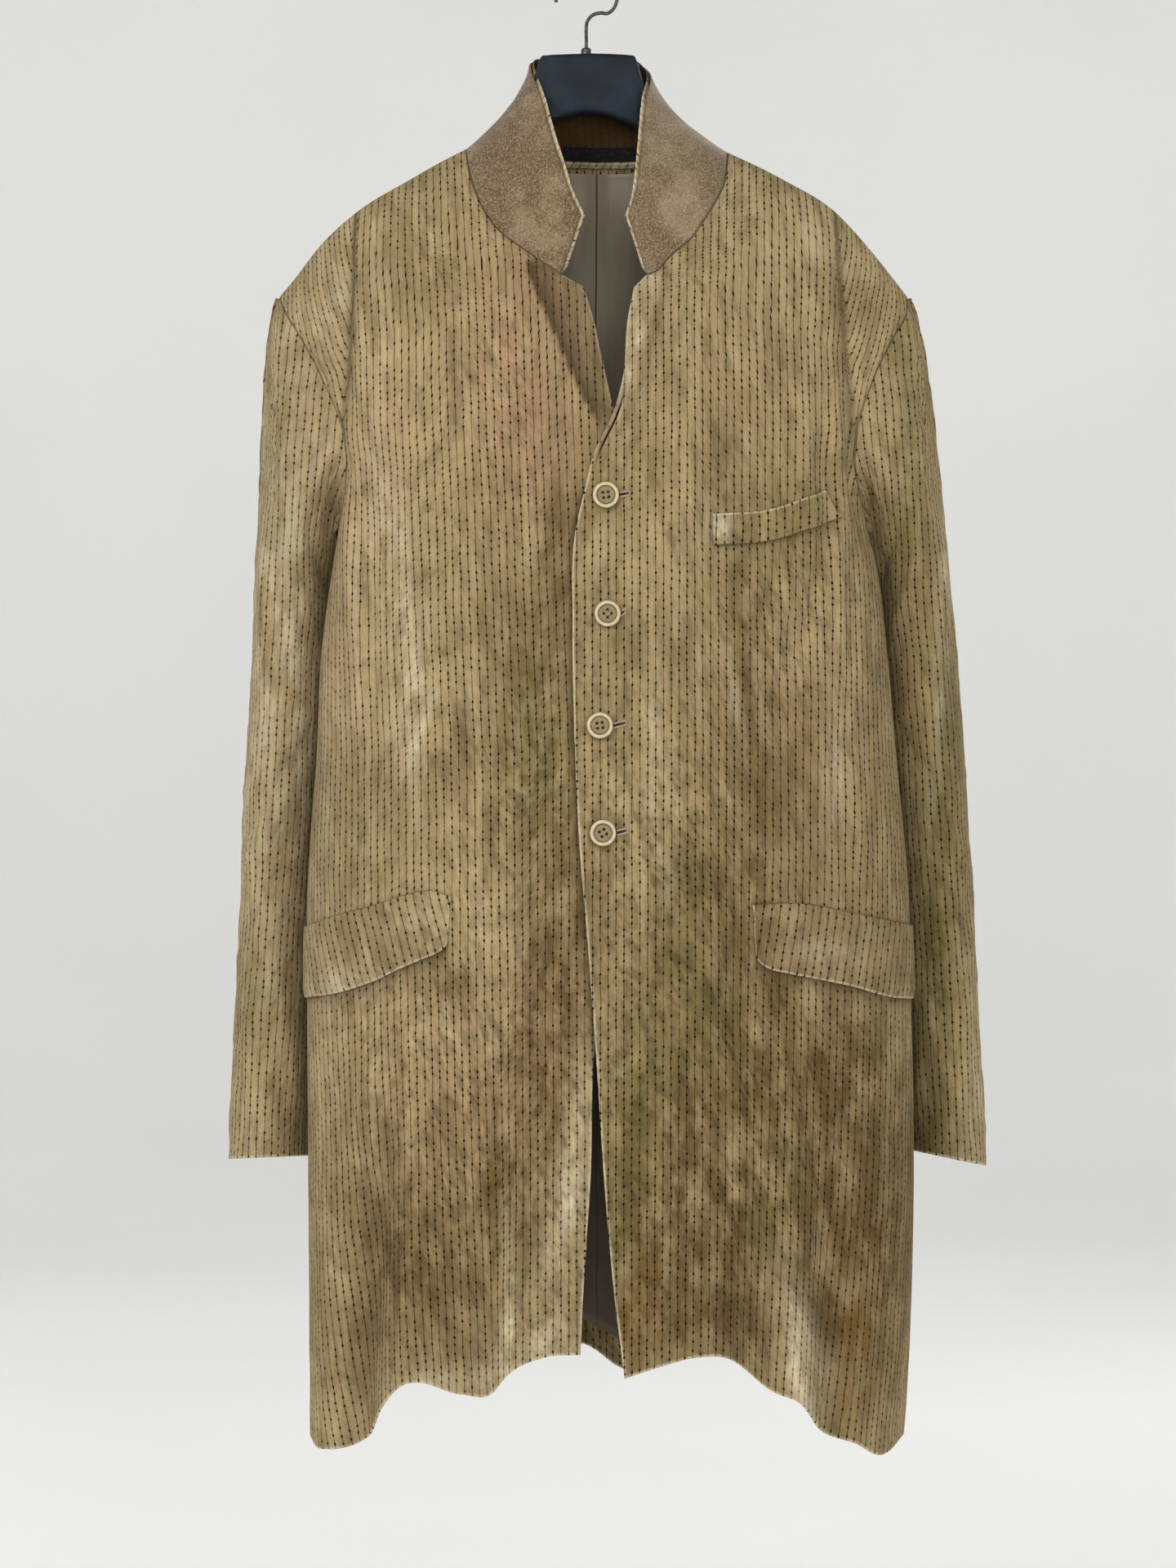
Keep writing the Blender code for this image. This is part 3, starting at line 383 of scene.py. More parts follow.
# Creases of a sleeve: middle as a share of the way round (0 at the body, 0.25 front, 0.5 outside) and height,
# length along the crease, width, lean in degrees from upright, and how far it stands out
SLEEVE_CREASES = table(
    "share z length width lean out",
    (0.10, -470, 90, 7, 38, -2.4),
    (0.16, -500, 110, 7, 32, 2.0),
    (0.24, -430, 120, 8, 20, -1.6),
    (0.30, -520, 150, 9, 14, 1.6),
    (0.40, -480, 160, 9, 8, -1.4),
    (0.12, -590, 90, 8, 52, 1.6),
    (0.22, -640, 100, 8, -40, -1.6),
    (0.30, -690, 90, 8, -50, 1.5),
    (0.18, -730, 80, 8, 48, -1.6),
    (0.36, -740, 120, 9, 24, -1.3),
    (0.26, -800, 110, 9, -22, 1.4),
    (0.14, -840, 110, 9, 16, 1.5),
    (0.34, -880, 110, 9, 10, -1.4),
    (0.46, -620, 200, 10, 4, 1.3),
    (0.60, -520, 130, 9, -18, -1.7),
    (0.70, -470, 120, 8, -30, 1.8),
    (0.84, -520, 100, 7, -40, -2.0),
    (0.66, -660, 120, 9, 36, 1.6),
    (0.80, -700, 100, 8, 48, -1.6),
    (0.72, -780, 120, 9, -26, 1.5),
    (0.88, -820, 110, 9, 14, 1.4),
)
COLLAR_EDGE = table(
    "share x y z",
    (0.0, -4.5, -64, -197),
    (0.06, -13, -60, -178),
    (0.13, -21, -52, -153),
    (0.19, -28, -41, -132),
    (0.25, -36, -24, -104),
    (0.30, -44, -2, -82),
    (0.38, -34, 22, -77),
    (0.50, 4, 32, -76),
    (0.62, 42, 22, -79),
    (0.70, 51, -2, -90),
    (0.75, 47.5, -22, -104),
    (0.81, 44.5, -38, -128),
    (0.87, 42.5, -50, -152),
    (0.94, 38.5, -60, -179),
    (1.0, 33, -64, -197),
)
RIGHT_FLAP = table(
    "x top bottom",
    (-219, -754, -810),
    (-197, -746, -807),
    (-168, -738, -798),
    (-140, -729, -785),
    (-120, -726, -777),
    (-108, -730, -773),
)
LEFT_FLAP = table(
    "x top bottom",
    (132, -737, -786),
    (152, -736, -790),
    (172, -736.5, -794),
    (206, -743, -801),
    (240, -750, -810),
    (254.5, -753, -811),
)
CHEST_WELT = table(
    "x top bottom",
    (98.5, -431, -456),
    (145, -427, -452),
    (172, -418, -444),
    (200, -407, -434),
)
BUTTON_PLACES = table(
    "x z hole_end hole_z",
    (15.4, -416, 33.5, -414.6),
    (16.6, -509, 30.0, -506.8),
    (10.5, -597, 30.5, -594.6),
    (12.5, -681, 31.0, -679.0),
)
BUTTON_TURNS = (8, 45, 8, 30)
KNOTTED = 1
HOLE_STARTS = 10.6

HANGER = table(
    "x top bottom thick",
    (-186, -207, -216, 3.0),
    (-182, -200, -222, 5.0),
    (-164, -185, -216, 6.0),
    (-140, -172, -204, 6.5),
    (-119, -159, -189, 7.0),
    (-95, -153, -172, 5.0),
    (-82, -148, -164, 6.0),
    (-68, -138, -154, 7.0),
    (-56, -126, -144, 9.0),
    (-46, -109, -136, 10.0),
    (-39.5, -86, -130, 11.0),
    (-36.8, -76, -128.5, 11.3),
    (-34.8, -72.9, -127, 11.5),
    (-26, -72.2, -123.5, 12.0),
    (3, -71.2, -118, 12.0),
    (20, -71.6, -121, 12.0),
    (31, -72.2, -125.5, 12.0),
    (37.6, -73, -128.5, 11.5),
    (39.6, -77, -129.5, 11.3),
    (44.2, -93, -132.5, 10.0),
    (53, -112, -137, 10.0),
    (67, -130, -146, 9.0),
    (82, -142, -156, 7.0),
    (98, -151, -166, 6.0),
    (111, -156, -174, 5.0),
    (132, -159, -189, 7.0),
    (156, -172, -204, 6.5),
    (178, -185, -217, 6.0),
    (190, -194, -226, 5.0),
    (194, -203, -218, 3.0),
)

# Marks on the cloth, as seen from the front: middle, size, turn in degrees and strength. Most are stains and
# bleached patches; crumple tells where the cloth crumples, piping where the left lapel shows its facing, and
# notes below tell where a mark is painted light
STAIN_COLUMNS = "x z wide tall turn strength"
STAINS = {
    "pale": table(
        STAIN_COLUMNS,
        (-142, -490, 5, 60, 3, 0.9),
        (-136, -560, 7, 44, -10, 1.0),
        (-130, -600, 5, 30, -18, 0.9),
        (-134, -650, 5, 34, 2, 0.7),
        (-160, -420, 10, 60, 4, 0.5),
        (-8, -930, 10, 60, -6, 0.7),
        (-20, -1000, 14, 50, -14, 0.6),
        (-62, -1060, 6, 60, 0, 0.8),
        (164, -1080, 14, 50, 12, 1.0),
        (178, -1120, 18, 30, 0, 0.7),
        (52, -600, 6, 60, 0, 0.5),
        (60, -700, 7, 44, 10, 0.3),
        (-225, -560, 16, 120, 4, 0.3),
        (282, -480, 6, 160, -4, 0.7),
        (-284, -700, 6, 160, 2, 0.4),
        (-200, -265, 34, 14, 35, 0.5),
        (180, -215, 30, 14, -35, 0.4),
        (-196, -800, 30, 10, 14, 0.7),
        (-140, -748, 26, 12, 10, 0.4),
        (190, -775, 32, 10, -6, 0.5),
        (104, -443, 10, 12, 0, 1.0),
        (-100, -1112, 60, 12, 6, 0.6),
        (36, -300, 9, 40, 10, 0.7),
        (-35, -1080, 26, 20, 10, 0.6),
        (112, -560, 5, 40, 12, 0.6),
        (196, -640, 8, 70, -4, 0.5),
        (308, -880, 10, 60, -3, 0.5),
        # This big soft pale patch is painted light: it brightens the right sleeve's side that turns away from
        # the lamps
        (-262, -520, 70, 300, 0, 0.55),
    ),
    "pink": table(
        STAIN_COLUMNS,
        (-56, -300, 40, 90, 0, 0.9),
        (-40, -380, 34, 60, 0, 0.7),
        (-160, -390, 22, 60, 0, 0.8),
        (-214, -380, 10, 60, 6, 0.7),
        (-14, -262, 14, 40, 20, 0.6),
        (120, -330, 60, 60, 0, 0.3),
        (-196, -560, 20, 80, 0, 0.5),
        (150, -600, 60, 80, 0, 0.6),
        (-90, -900, 60, 80, 0, 0.6),
        (120, -760, 60, 60, 0, 0.5),
        (-30, -830, 26, 60, 0, 0.8),
        (60, -480, 20, 90, 0, 0.3),
        (-120, -1050, 40, 60, 0, 0.4),
        (214, -1010, 26, 80, 0, 0.4),
    ),
    "brown": table(
        STAIN_COLUMNS,
        (-40, -540, 46, 90, 0, 0.6),
        (-20, -740, 34, 100, 0, 0.8),
        (-70, -660, 24, 60, 10, 0.5),
        (-96, -620, 20, 50, 0, 0.4),
        (122, -540, 16, 110, 4, 0.7),
        (150, -640, 40, 90, 0, 0.5),
        (130, -860, 76, 120, 0, 0.8),
        (100, -1010, 90, 90, 0, 0.9),
        (220, -960, 40, 150, 0, 0.9),
        (90, -720, 50, 60, 0, 0.5),
        (-20, -450, 14, 60, 0, 0.6),
        (-60, -930, 40, 110, 0, 0.6),
        (-30, -850, 26, 70, 0, 0.6),
        (40, -1000, 40, 110, 0, 0.6),
        (-150, -650, 40, 60, 0, 0.3),
        (104, -370, 10, 80, 4, 0.5),
        (140, -290, 16, 60, 6, 0.4),
        (-110, -320, 20, 60, 0, 0.4),
        (180, -980, 40, 90, 0, 0.6),
        (-140, -1000, 36, 90, 0, 0.5),
        (-180, -900, 16, 60, 0, 0.4),
        (-110, -800, 30, 24, 0, 0.7),
        (226, -560, 10, 70, 0, 0.4),
        (-236, -700, 14, 90, 0, 0.5),
        (300, -560, 8, 60, 0, 0.5),
        (-110, -1020, 90, 110, 0, 0.55),
        (130, -1000, 120, 140, 0, 0.42),
        (90, -720, 110, 150, 0, 0.16),
        (-196, -250, 10, 40, 0, 0.2),
    ),
    "olive": table(
        STAIN_COLUMNS,
        (-42, -620, 26, 80, 0, 0.7),
        (40, -900, 20, 80, 0, 0.9),
        (20, -1010, 18, 70, 0, 0.8),
        (276, -720, 18, 190, 0, 0.9),
        (-240, -400, 26, 80, 0, 0.7),
        (-226, -640, 30, 70, 0, 0.6),
        (-262, -820, 16, 70, 0, 0.5),
        (262, -930, 30, 60, 0, 0.5),
        (90, -800, 34, 90, 8, 0.7),
        (-190, -700, 20, 70, 0, 0.4),
        (250, -420, 14, 90, 0, 0.6),
        (-130, -480, 16, 60, 0, 0.4),
        (30, -560, 14, 70, 0, 0.5),
        (150, -980, 30, 60, 0, 0.4),
        (-60, -1020, 20, 70, 0, 0.4),
        (170, -430, 30, 60, 0, 0.3),
        (120, -560, 110, 260, 0, 0.24),
        (290, -640, 40, 300, 0, 0.25),
    ),
    "gold": table(
        STAIN_COLUMNS,
        (192, -1124, 20, 22, 0, 0.9),
        (160, -1120, 12, 30, 0, 0.4),
        (40, -1060, 16, 40, 0, 0.5),
        (-40, -1080, 10, 30, 0, 0.3),
        (212, -1060, 14, 60, 0, 0.5),
    ),
    "crumple": table(
        STAIN_COLUMNS,
        (-44, -620, 44, 90, 0, 1.0),
        (60, -700, 50, 130, 0, 1.0),
        (150, -500, 50, 80, 0, 0.8),
        (0, -900, 110, 160, 0, 0.9),
        (-120, -900, 80, 160, 0, 0.7),
        (150, -900, 70, 160, 0, 0.8),
        (-70, -330, 40, 60, 0, 0.6),
        (-30, -1040, 40, 50, 0, 0.9),
    ),
    "piping": table(STAIN_COLUMNS, (17, -358, 15, 56, 28, 2.5)),
}


def linear(red, green, blue):
    """A colour given as it looks on a screen, 0 to 255, in the light values that shaders take."""
    share = np.array([red, green, blue]) / 255
    return tuple(np.where(share <= 0.04045, share / 12.92, ((share + 0.055) / 1.055) ** 2.4))


def smooth_at(t, known, values):
    """A smooth curve through a table's points: cubic pieces whose slopes lie between their neighbours'."""
    step = np.diff(known)
    slope = np.diff(values) / step
    inner = (slope[:-1] * step[1:] + slope[1:] * step[:-1]) / (step[1:] + step[:-1])
    tangent = np.concatenate([slope[:1], inner, slope[-1:]])
    t = np.clip(t, known[0], known[-1])
    i = np.clip(np.searchsorted(known, t, side="right") - 1, 0, len(step) - 1)
    s = (t - known[i]) / step[i]
    return cubic(values[i], values[i + 1], step[i] * tangent[i], step[i] * tangent[i + 1], s)


def cubic(start, end, first, last, s):
    """A cubic piece from a start to an end, with its slopes there, at the shares s of the way."""
    piece = start * (2 * s**3 - 3 * s**2 + 1) + first * (s**3 - 2 * s**2 + s)
    return piece + end * (3 * s**2 - 2 * s**3) + last * (s**3 - s**2)


def fade(t):
    """0 below 0, 1 above 1, and a smooth rise between."""
    t = np.clip(t, 0, 1)
    return t * t * (3 - 2 * t)


def hills(u, v, size, seed):
    """Soft random hills from -1 to 1: random heights on a square lattice, blended by a smooth step."""
    lattice = np.random.default_rng(seed).uniform(-1, 1, (97, 97))
    i, j = np.floor(u / size).astype(int), np.floor(v / size).astype(int)
    a, b = fade(u / size - i), fade(v / size - j)
    low = lattice[i % 97, j % 97] * (1 - a) + lattice[(i + 1) % 97, j % 97] * a
    high = lattice[i % 97, (j + 1) % 97] * (1 - a) + lattice[(i + 1) % 97, (j + 1) % 97] * a
    return low * (1 - b) + high * b


def ridge(x):
    return smooth_at(x, SHOULDER["x"], SHOULDER["z"])


def body(z, column):
    return smooth_at(z, BODY["z"], BODY[column])


def torso(angle, z, face):
    """A point of the body: x = centre + half * sin(angle); y = depth * cos(angle), made fuller between middle
    and side, where the depth grows from 0 at the shoulder by two exponentials; face is -1 front, 1 back."""
    x = body(z, "centre") + body(z, "half") * np.sin(angle)
    below = np.maximum(ridge(x) - z, 0)
    deep, reach, share = (86, 120, 1.0) if face < 0 else (80, 105, 0.8)
    depth = 12 * (1 - np.exp(-below / 5)) + deep * (1 - np.exp(-below / reach))
    depth = depth + share * body(z, "fuller")
    y = face * depth * np.cos(angle) * (1 + ROUND * np.sin(angle) ** 2)
    return np.stack([x, y, z + 0 * x], axis=-1)


def angle_at(x, z):
    return np.arcsin(np.clip((x - body(z, "centre")) / body(z, "half"), -1, 1))


def unit(vectors):
    return vectors / np.linalg.norm(vectors, axis=-1, keepdims=True)


def grid_normals(points, away_from, closed=False):
    """Unit normals of a grid of points, turned away from a point or from an array of points."""
    if closed:
        wide = np.concatenate([points[:, -1:], points, points[:, :1]], axis=1)
        across = np.gradient(wide, axis=1)[:, 1:-1]
    else:
        across = np.gradient(points, axis=1)
    normal = unit(np.cross(across, np.gradient(points, axis=0)))
    return -normal if ((points - away_from) * normal).sum() < 0 else normal


def fold_height(points, folds):
    """How far each fold, a soft bar that fades at its ends, moves the cloth out."""
    x, z = points[..., 0], points[..., 2]
    moved = np.zeros_like(x)
    for low_x, low_z, high_x, high_z, width, out in zip(*folds.values()):
        share = (z - low_z) / (high_z - low_z)
        middle = low_x + (high_x - low_x) * share
        reach = fade(3 * share + 0.9) * fade(1.8 * (1 - share))
        moved += out * reach * np.exp(-(((x - middle) / width) ** 2))
    return moved


def crease_height(points, creases):
    """Creases are like folds but fade at both ends, wander sideways, and have one steeper flank."""
    x, z = points[..., 0], points[..., 2]
    moved = np.zeros_like(x)
    for k, (low_x, low_z, high_x, high_z, width, out) in enumerate(zip(*creases.values())):
        share = (z - low_z) / (high_z - low_z)
        sway = 0.35 * width * np.sin(7 * share + 1.7 * k)
        across = (x - low_x - (high_x - low_x) * share - sway) / width
        across = np.where(across > 0, across * 1.5, across)
        moved += CREASE_DEPTH * out * fade(2.5 * share) * fade(2.5 * (1 - share)) * np.exp(-(across**2))
    return moved


def lengths_along(points, axis):
    """The way along each grid line from its first point, in millimetres."""
    step = np.linalg.norm(np.diff(points, axis=axis), axis=-1)
    start = np.zeros_like(np.take(step, [0], axis=axis))
    return np.concatenate([start, np.cumsum(step, axis=axis)], axis=axis)


def close_lines(even, length, first, last):
    """Evenly spaced shares with a few closer ones at the ends that are rounded."""
    near = np.array(CLOSE_LINES) / length
    parts = [even]
    if first:
        parts.append(even[0] + near)
    if last:
        parts.append(even[-1] - near)
    return np.unique(np.concatenate(parts))


def panel_rows():
    """Row numbers from the hem to the shoulder, with closer ones at the hem."""
    lower = np.linspace(0, UNDERARM_ROW, UNDERARM_ROW * LOWER_LINES + 1)
    upper = np.linspace(UNDERARM_ROW, TOP_ROW, (TOP_ROW - UNDERARM_ROW) * UPPER_LINES + 1)
    return close_lines(np.concatenate([lower, upper[1:]]), 36.0, True, False)


def armhole_edge(side, face, rows):
    """(angle, z) of a panel's outer edge: the side seam at a right angle, and then the armhole."""
    shoulder_x = {"right": RIGHT_SHOULDER_X, "left": LEFT_SHOULDER_X}[side]
    sign = {"right": -1, "left": 1}[side]
    top_z = ridge(shoulder_x)
    up = np.clip((rows - UNDERARM_ROW) / (TOP_ROW - UNDERARM_ROW), 0, 1)
    lower_z = SEAM_HEM_Z + (UNDERARM_Z - SEAM_HEM_Z) * rows / UNDERARM_ROW
    upper_z = UNDERARM_Z + (top_z - UNDERARM_Z) * (1 - (1 - up) ** 1.4)
    top_share = abs(shoulder_x - body(top_z, "centre")) / body(top_z, "half")
    known = np.append(ARMHOLE["z"], top_z)
    shares = np.append(ARMHOLE["front" if face < 0 else "back"], top_share)
    armhole = np.arcsin(np.clip(smooth_at(upper_z, known, shares), 0, 1))
    lower = rows < UNDERARM_ROW
    angle = sign * np.where(lower, SIDE_ANGLE, armhole)
    return np.stack([angle, np.where(lower, lower_z, upper_z)], axis=1)


def inner_edge(edge, neck, rows):
    """(angle, z) of a front's free edge: front edge, lapel, the lapel's straight top, and the neck seam."""
    top_z = edge["z"][-1]
    lower_z = edge["z"][0] + (UNDERARM_Z - edge["z"][0]) * rows / UNDERARM_ROW
    lapel_z = UNDERARM_Z + (top_z - UNDERARM_Z) * (rows - UNDERARM_ROW) / (LAPEL_ROW - UNDERARM_ROW)
    z = np.where(rows < UNDERARM_ROW, lower_z, np.minimum(lapel_z, top_z))
    x = smooth_at(z, edge["z"], edge["x"])
    fine = np.linspace(0, 1, 60)
    seam = np.stack([smooth_at(fine, np.linspace(0, 1, len(neck["x"])), neck[k]) for k in "xz"], axis=1)
    along = lengths_along(seam, 0)
    share = 1 - (1 - np.clip((rows - NOTCH_ROW) / (TOP_ROW - NOTCH_ROW), 0, 1)) ** 1.3
    seam_x = np.interp(share * along[-1], along, seam[:, 0])
    seam_z = np.interp(share * along[-1], along, seam[:, 1])
    notch = np.clip(rows - LAPEL_ROW, 0, 1)
    x = x * (1 - notch) + seam_x * notch
    z = z * (1 - notch) + seam_z * notch
    return np.stack([angle_at(x, z), z], axis=1)


def patch(side_a, side_b, bottom, top, rows, across):
    """A surface between four edges in (angle, z): ruled between its sides, eased to its bottom and top."""
    across, up = across[None, :, None], (rows / TOP_ROW)[:, None, None]
    ruled = side_a[:, None] * (1 - across) + side_b[:, None] * across
    return ruled + (bottom - ruled[0])[None] * (1 - up) ** 3 + (top - ruled[-1])[None] * up**2


def past_roll(x, z, side):
    """How far a point lies past the line that its lapel rolls on, towards the free edge."""
    line = smooth_at(z, ROLL["z"], ROLL[side])
    return (line - x) if side == "left" else (x - line)


def past_arm_fold(x, z, side):
    """How far a point lies past the fold beside its armhole, towards the sleeve."""
    line = smooth_at(z, ARM_FOLD["z"], ARM_FOLD[side])
    return (x - line) if side == "left" else (line - x)


def below_edge(x, z, shape, soft):
    """A shade that fades downwards from the lower edge of a flap."""
    below = smooth_at(x, shape["x"], shape["bottom"]) - z
    within = fade((x - shape["x"].min()) / 4 + 0.5) * fade((shape["x"].max() - x) / 4 + 0.5)
    return within * fade((below + 22) / 10) * np.exp(-np.maximum(below, 0) / soft)


def roll_back(points, side):
    """The lapel leans in, past the line that it rolls on."""
    past = np.clip(past_roll(points[..., 0], points[..., 2], side), 0, 40) * fade((points[..., 2] + 378) / 60)
    points[..., 1] += ROLL_LEAN * past
    return points


def moved_out(points, face, folds, creases, away_from_seams, seed):
    """The points moved along their normals by folds, creases and a random crumple that folds share."""
    normals = grid_normals(points, INSIDE)
    x, z = points[..., 0], points[..., 2]
    crumple = 0.9 * hills(x, 0.35 * z, 26, seed) + 0.5 * hills(x + 0.3 * z, 0.6 * z, 13, seed + 1)
    sharp = 1 - np.abs(hills(x + 0.5 * z, 0.8 * z - 0.3 * x, 17, seed + 2))
    crumple += 0.9 * marks_at(x * -face, z)["crumple"] * (sharp**3 - 0.4)
    moved = fold_height(points, folds) + crease_height(points, creases) + crumple
    return points + (moved * away_from_seams)[..., None] * normals


def marks_at(x, z):
    """The strength of each kind of stain: a sum of soft ellipses."""
    marks = {}
    for kind, stains in STAINS.items():
        total = np.zeros_like(x)
        for at_x, at_z, wide, tall, turn, strength in zip(*stains.values()):
            cosine, sine = math.cos(math.radians(turn)), math.sin(math.radians(turn))
            across = ((x - at_x) * cosine + (z - at_z) * sine) / wide
            along = ((z - at_z) * cosine - (x - at_x) * sine) / tall
            total += strength * np.exp(-(across**2 + along**2))
        marks[kind] = np.clip(total, 0, 1)
    return marks


def seam_dipped(points, normals, distances, depth=0.9, width=2.2):
    """The cloth sinks into the seams that it is sewn along."""
    dip = sum(np.exp(-((distance / width) ** 2)) for distance in distances)
    return points - (depth * np.minimum(dip, 1))[..., None] * normals


def rounded_wall(points, normals, free, thickness):
    """Outer and inner faces of a wall whose free edges are half round: half the thickness each way from its
    middle, times the height of a circle near the edge."""
    half = thickness / 2
    share = np.clip(free / half, 0, 1)
    reach = half * np.maximum(np.sqrt(1 - (1 - share) ** 2), 0.15)
    middle = points - half * normals
    return middle + reach[..., None] * normals, middle - reach[..., None] * normals


def front_surface(side):
    """One front as a grid: rows from hem to shoulder, columns from the side seam to the free edge."""
    edge, neck, hem = {
        "left": (LEFT_EDGE, LEFT_NECK, LEFT_HEM),
        "right": (RIGHT_EDGE, RIGHT_NECK, RIGHT_HEM),
    }[side]
    rows = panel_rows()
    across = close_lines(np.linspace(0, 1, FRONT_LINES), 240.0, True, True)
    outer, inner = armhole_edge(side, -1, rows), inner_edge(edge, neck, rows)
    angles = outer[0, 0] + (inner[0, 0] - outer[0, 0]) * across
    hem_x = body(HEM_LEVEL, "centre") + body(HEM_LEVEL, "half") * np.sin(angles)
    bottom = np.stack([angles, smooth_at(hem_x, hem["x"], hem["z"])], axis=1)
    ends = {"right": (RIGHT_SHOULDER_X, RIGHT_NECK_X), "left": (LEFT_SHOULDER_X, LEFT_NECK_X)}[side]
    top_x = ends[0] + (ends[1] - ends[0]) * across
    top = np.stack([angle_at(top_x, ridge(top_x)), ridge(top_x)], axis=1)
    plan = patch(outer, inner, bottom, top, rows, across)
    points = torso(plan[..., 0], plan[..., 1], -1)
    flat = lengths_along(points, 1)
    rise = lengths_along(points, 0)
    from_side, from_edge = flat, flat[:, -1:] - flat
    from_hem, from_top = rise, rise[-1:] - rise
    calm = fade(from_side / 18) * fade(from_top / 18)
    points = moved_out(points, -1, FRONT_FOLDS, FRONT_CREASES, calm, SEED)
    points = roll_back(points, side)
    if side == "left":
        x, z = points[..., 0], points[..., 2]
        points[..., 1] -= OVERLAP * fade((70 - x) / 30) * fade((-325 - z) / 30)
    normals = flat_at_seams(points, grid_normals(points, INSIDE), -1)
    sewn_edge = from_edge + 99 * (rows < NOTCH_ROW)[:, None]
    points = seam_dipped(points, normals, [from_side, from_top, sewn_edge])
    free = np.minimum(from_hem, from_edge + 99 * (rows > NOTCH_ROW)[:, None])
    outer, inner = rounded_wall(points, normals, free, CLOTH)
    sign = 1 if side == "left" else -1
    lean = GRAIN_LEAN[side] * np.maximum(points[..., 2] - WAIST_Z, 0)
    beyond = fade(past_arm_fold(points[..., 0], points[..., 2], side) / 3)
    lean = lean - sign * ARM_LEAN * np.maximum(points[..., 2] - ARM_FOLD_LOW, 0) * beyond
    across_cloth = points[:, -1:, 0] - MIDDLE_X + sign * from_edge + lean
    cut = (flat[:, -1].max(), rise[-1].max(), points)
    sewn = np.minimum(np.minimum(from_side, from_top), sewn_edge)
    return surface(outer, inner, normals, across_cloth, rise, free, sewn, rows, cut)


def flat_at_seams(points, normals, face):
    """At its side seam and shoulder a panel ends half a seam from the hanger's plane, square to it."""
    on_seam = np.abs(points[..., 1]) < SEAM / 2
    points[..., 1] = np.where(on_seam, face * SEAM / 2, points[..., 1])
    normals[..., 1] = np.where(on_seam, 0, normals[..., 1])
    return unit(normals)


def cut_of(run, rise, points):
    """A piece's widest row, its longest column, and the points that its area comes from."""
    return run[:, -1].max(), rise[-1].max(), points


def surface(outer, inner, normals, across, along, free, sewn, rows, cut):
    """A cloth surface's arrays under their names; free and sewn are the ways to the nearest such edge."""
    return {
        "out": outer,
        "in": inner,
        "normal": normals,
        "uv": np.stack([across, along + 0 * across], axis=-1),
        "free": free,
        "sewn": sewn,
        "rows": rows,
        "cut": cut,
    }


def back_surface():
    """The back as a grid: rows from hem to shoulder and neck, columns from the right side to the left."""
    rows = panel_rows()
    columns = np.unique(np.concatenate([np.linspace(0, BACK_COLUMNS, BACK_LINES + 1), [NECK_FROM, NECK_TO]]))
    columns = close_lines(columns, 28.0, True, True)
    right, left = armhole_edge("right", 1, rows), armhole_edge("left", 1, rows)
    angles = SIDE_ANGLE * (2 * columns / BACK_COLUMNS - 1)
    bottom = np.stack([angles, smooth_at(np.degrees(angles), BACK_HEM["angle"], BACK_HEM["z"])], axis=1)
    top_x = np.interp(
        columns,
        [0, NECK_FROM, NECK_TO, BACK_COLUMNS],
        [RIGHT_SHOULDER_X, RIGHT_NECK_X, LEFT_NECK_X, LEFT_SHOULDER_X],
    )
    neck = np.clip((top_x - RIGHT_NECK_X) / (LEFT_NECK_X - RIGHT_NECK_X), 0, 1)
    straight = ridge(RIGHT_NECK_X) + (ridge(LEFT_NECK_X) - ridge(RIGHT_NECK_X)) * neck
    on_neck = (neck > 0) & (neck < 1)
    dropped = straight - BACK_NECK_DROP * np.sin(np.pi * neck) ** 0.7
    top_z = np.where(on_neck, dropped, ridge(top_x))
    top = np.stack([angle_at(top_x, top_z), top_z], axis=1)
    plan = patch(right, left, bottom, top, rows, columns / BACK_COLUMNS)
    points = torso(plan[..., 0], plan[..., 1], 1)
    flat, rise = lengths_along(points, 1), lengths_along(points, 0)
    from_side = np.minimum(flat, flat[:, -1:] - flat)
    from_top = rise[-1:] - rise
    calm = fade(from_side / 18) * fade(from_top / 18)
    points = moved_out(points, 1, BACK_FOLDS, BACK_CREASES, calm, SEED + 10)
    normals = flat_at_seams(points, grid_normals(points, INSIDE), 1)
    points = seam_dipped(points, normals, [from_side, from_top])
    points = seam_dipped(points, normals, [np.abs(flat - middle_way(points, flat))], 0.7, 1.8)
    outer, inner = rounded_wall(points, normals, rise, CLOTH)
    across = flat - middle_way(points, flat)
    sewn = np.minimum(np.minimum(from_side, from_top), np.abs(across))
    made = surface(outer, inner, normals, across, rise, rise, sewn, rows, cut_of(flat, rise, points))
    made["columns"] = columns
    return made


def middle_way(points, flat):
    """How far along each row the body's middle lies."""
    off = points[..., 0] - MIDDLE_X
    at = np.clip((off > 0).argmax(axis=1), 1, None)[:, None]
    low, high = (np.take_along_axis(off, at - k, axis=1) for k in (1, 0))
    near, far = (np.take_along_axis(flat, at - k, axis=1) for k in (1, 0))
    return near - low / (high - low) * (far - near)


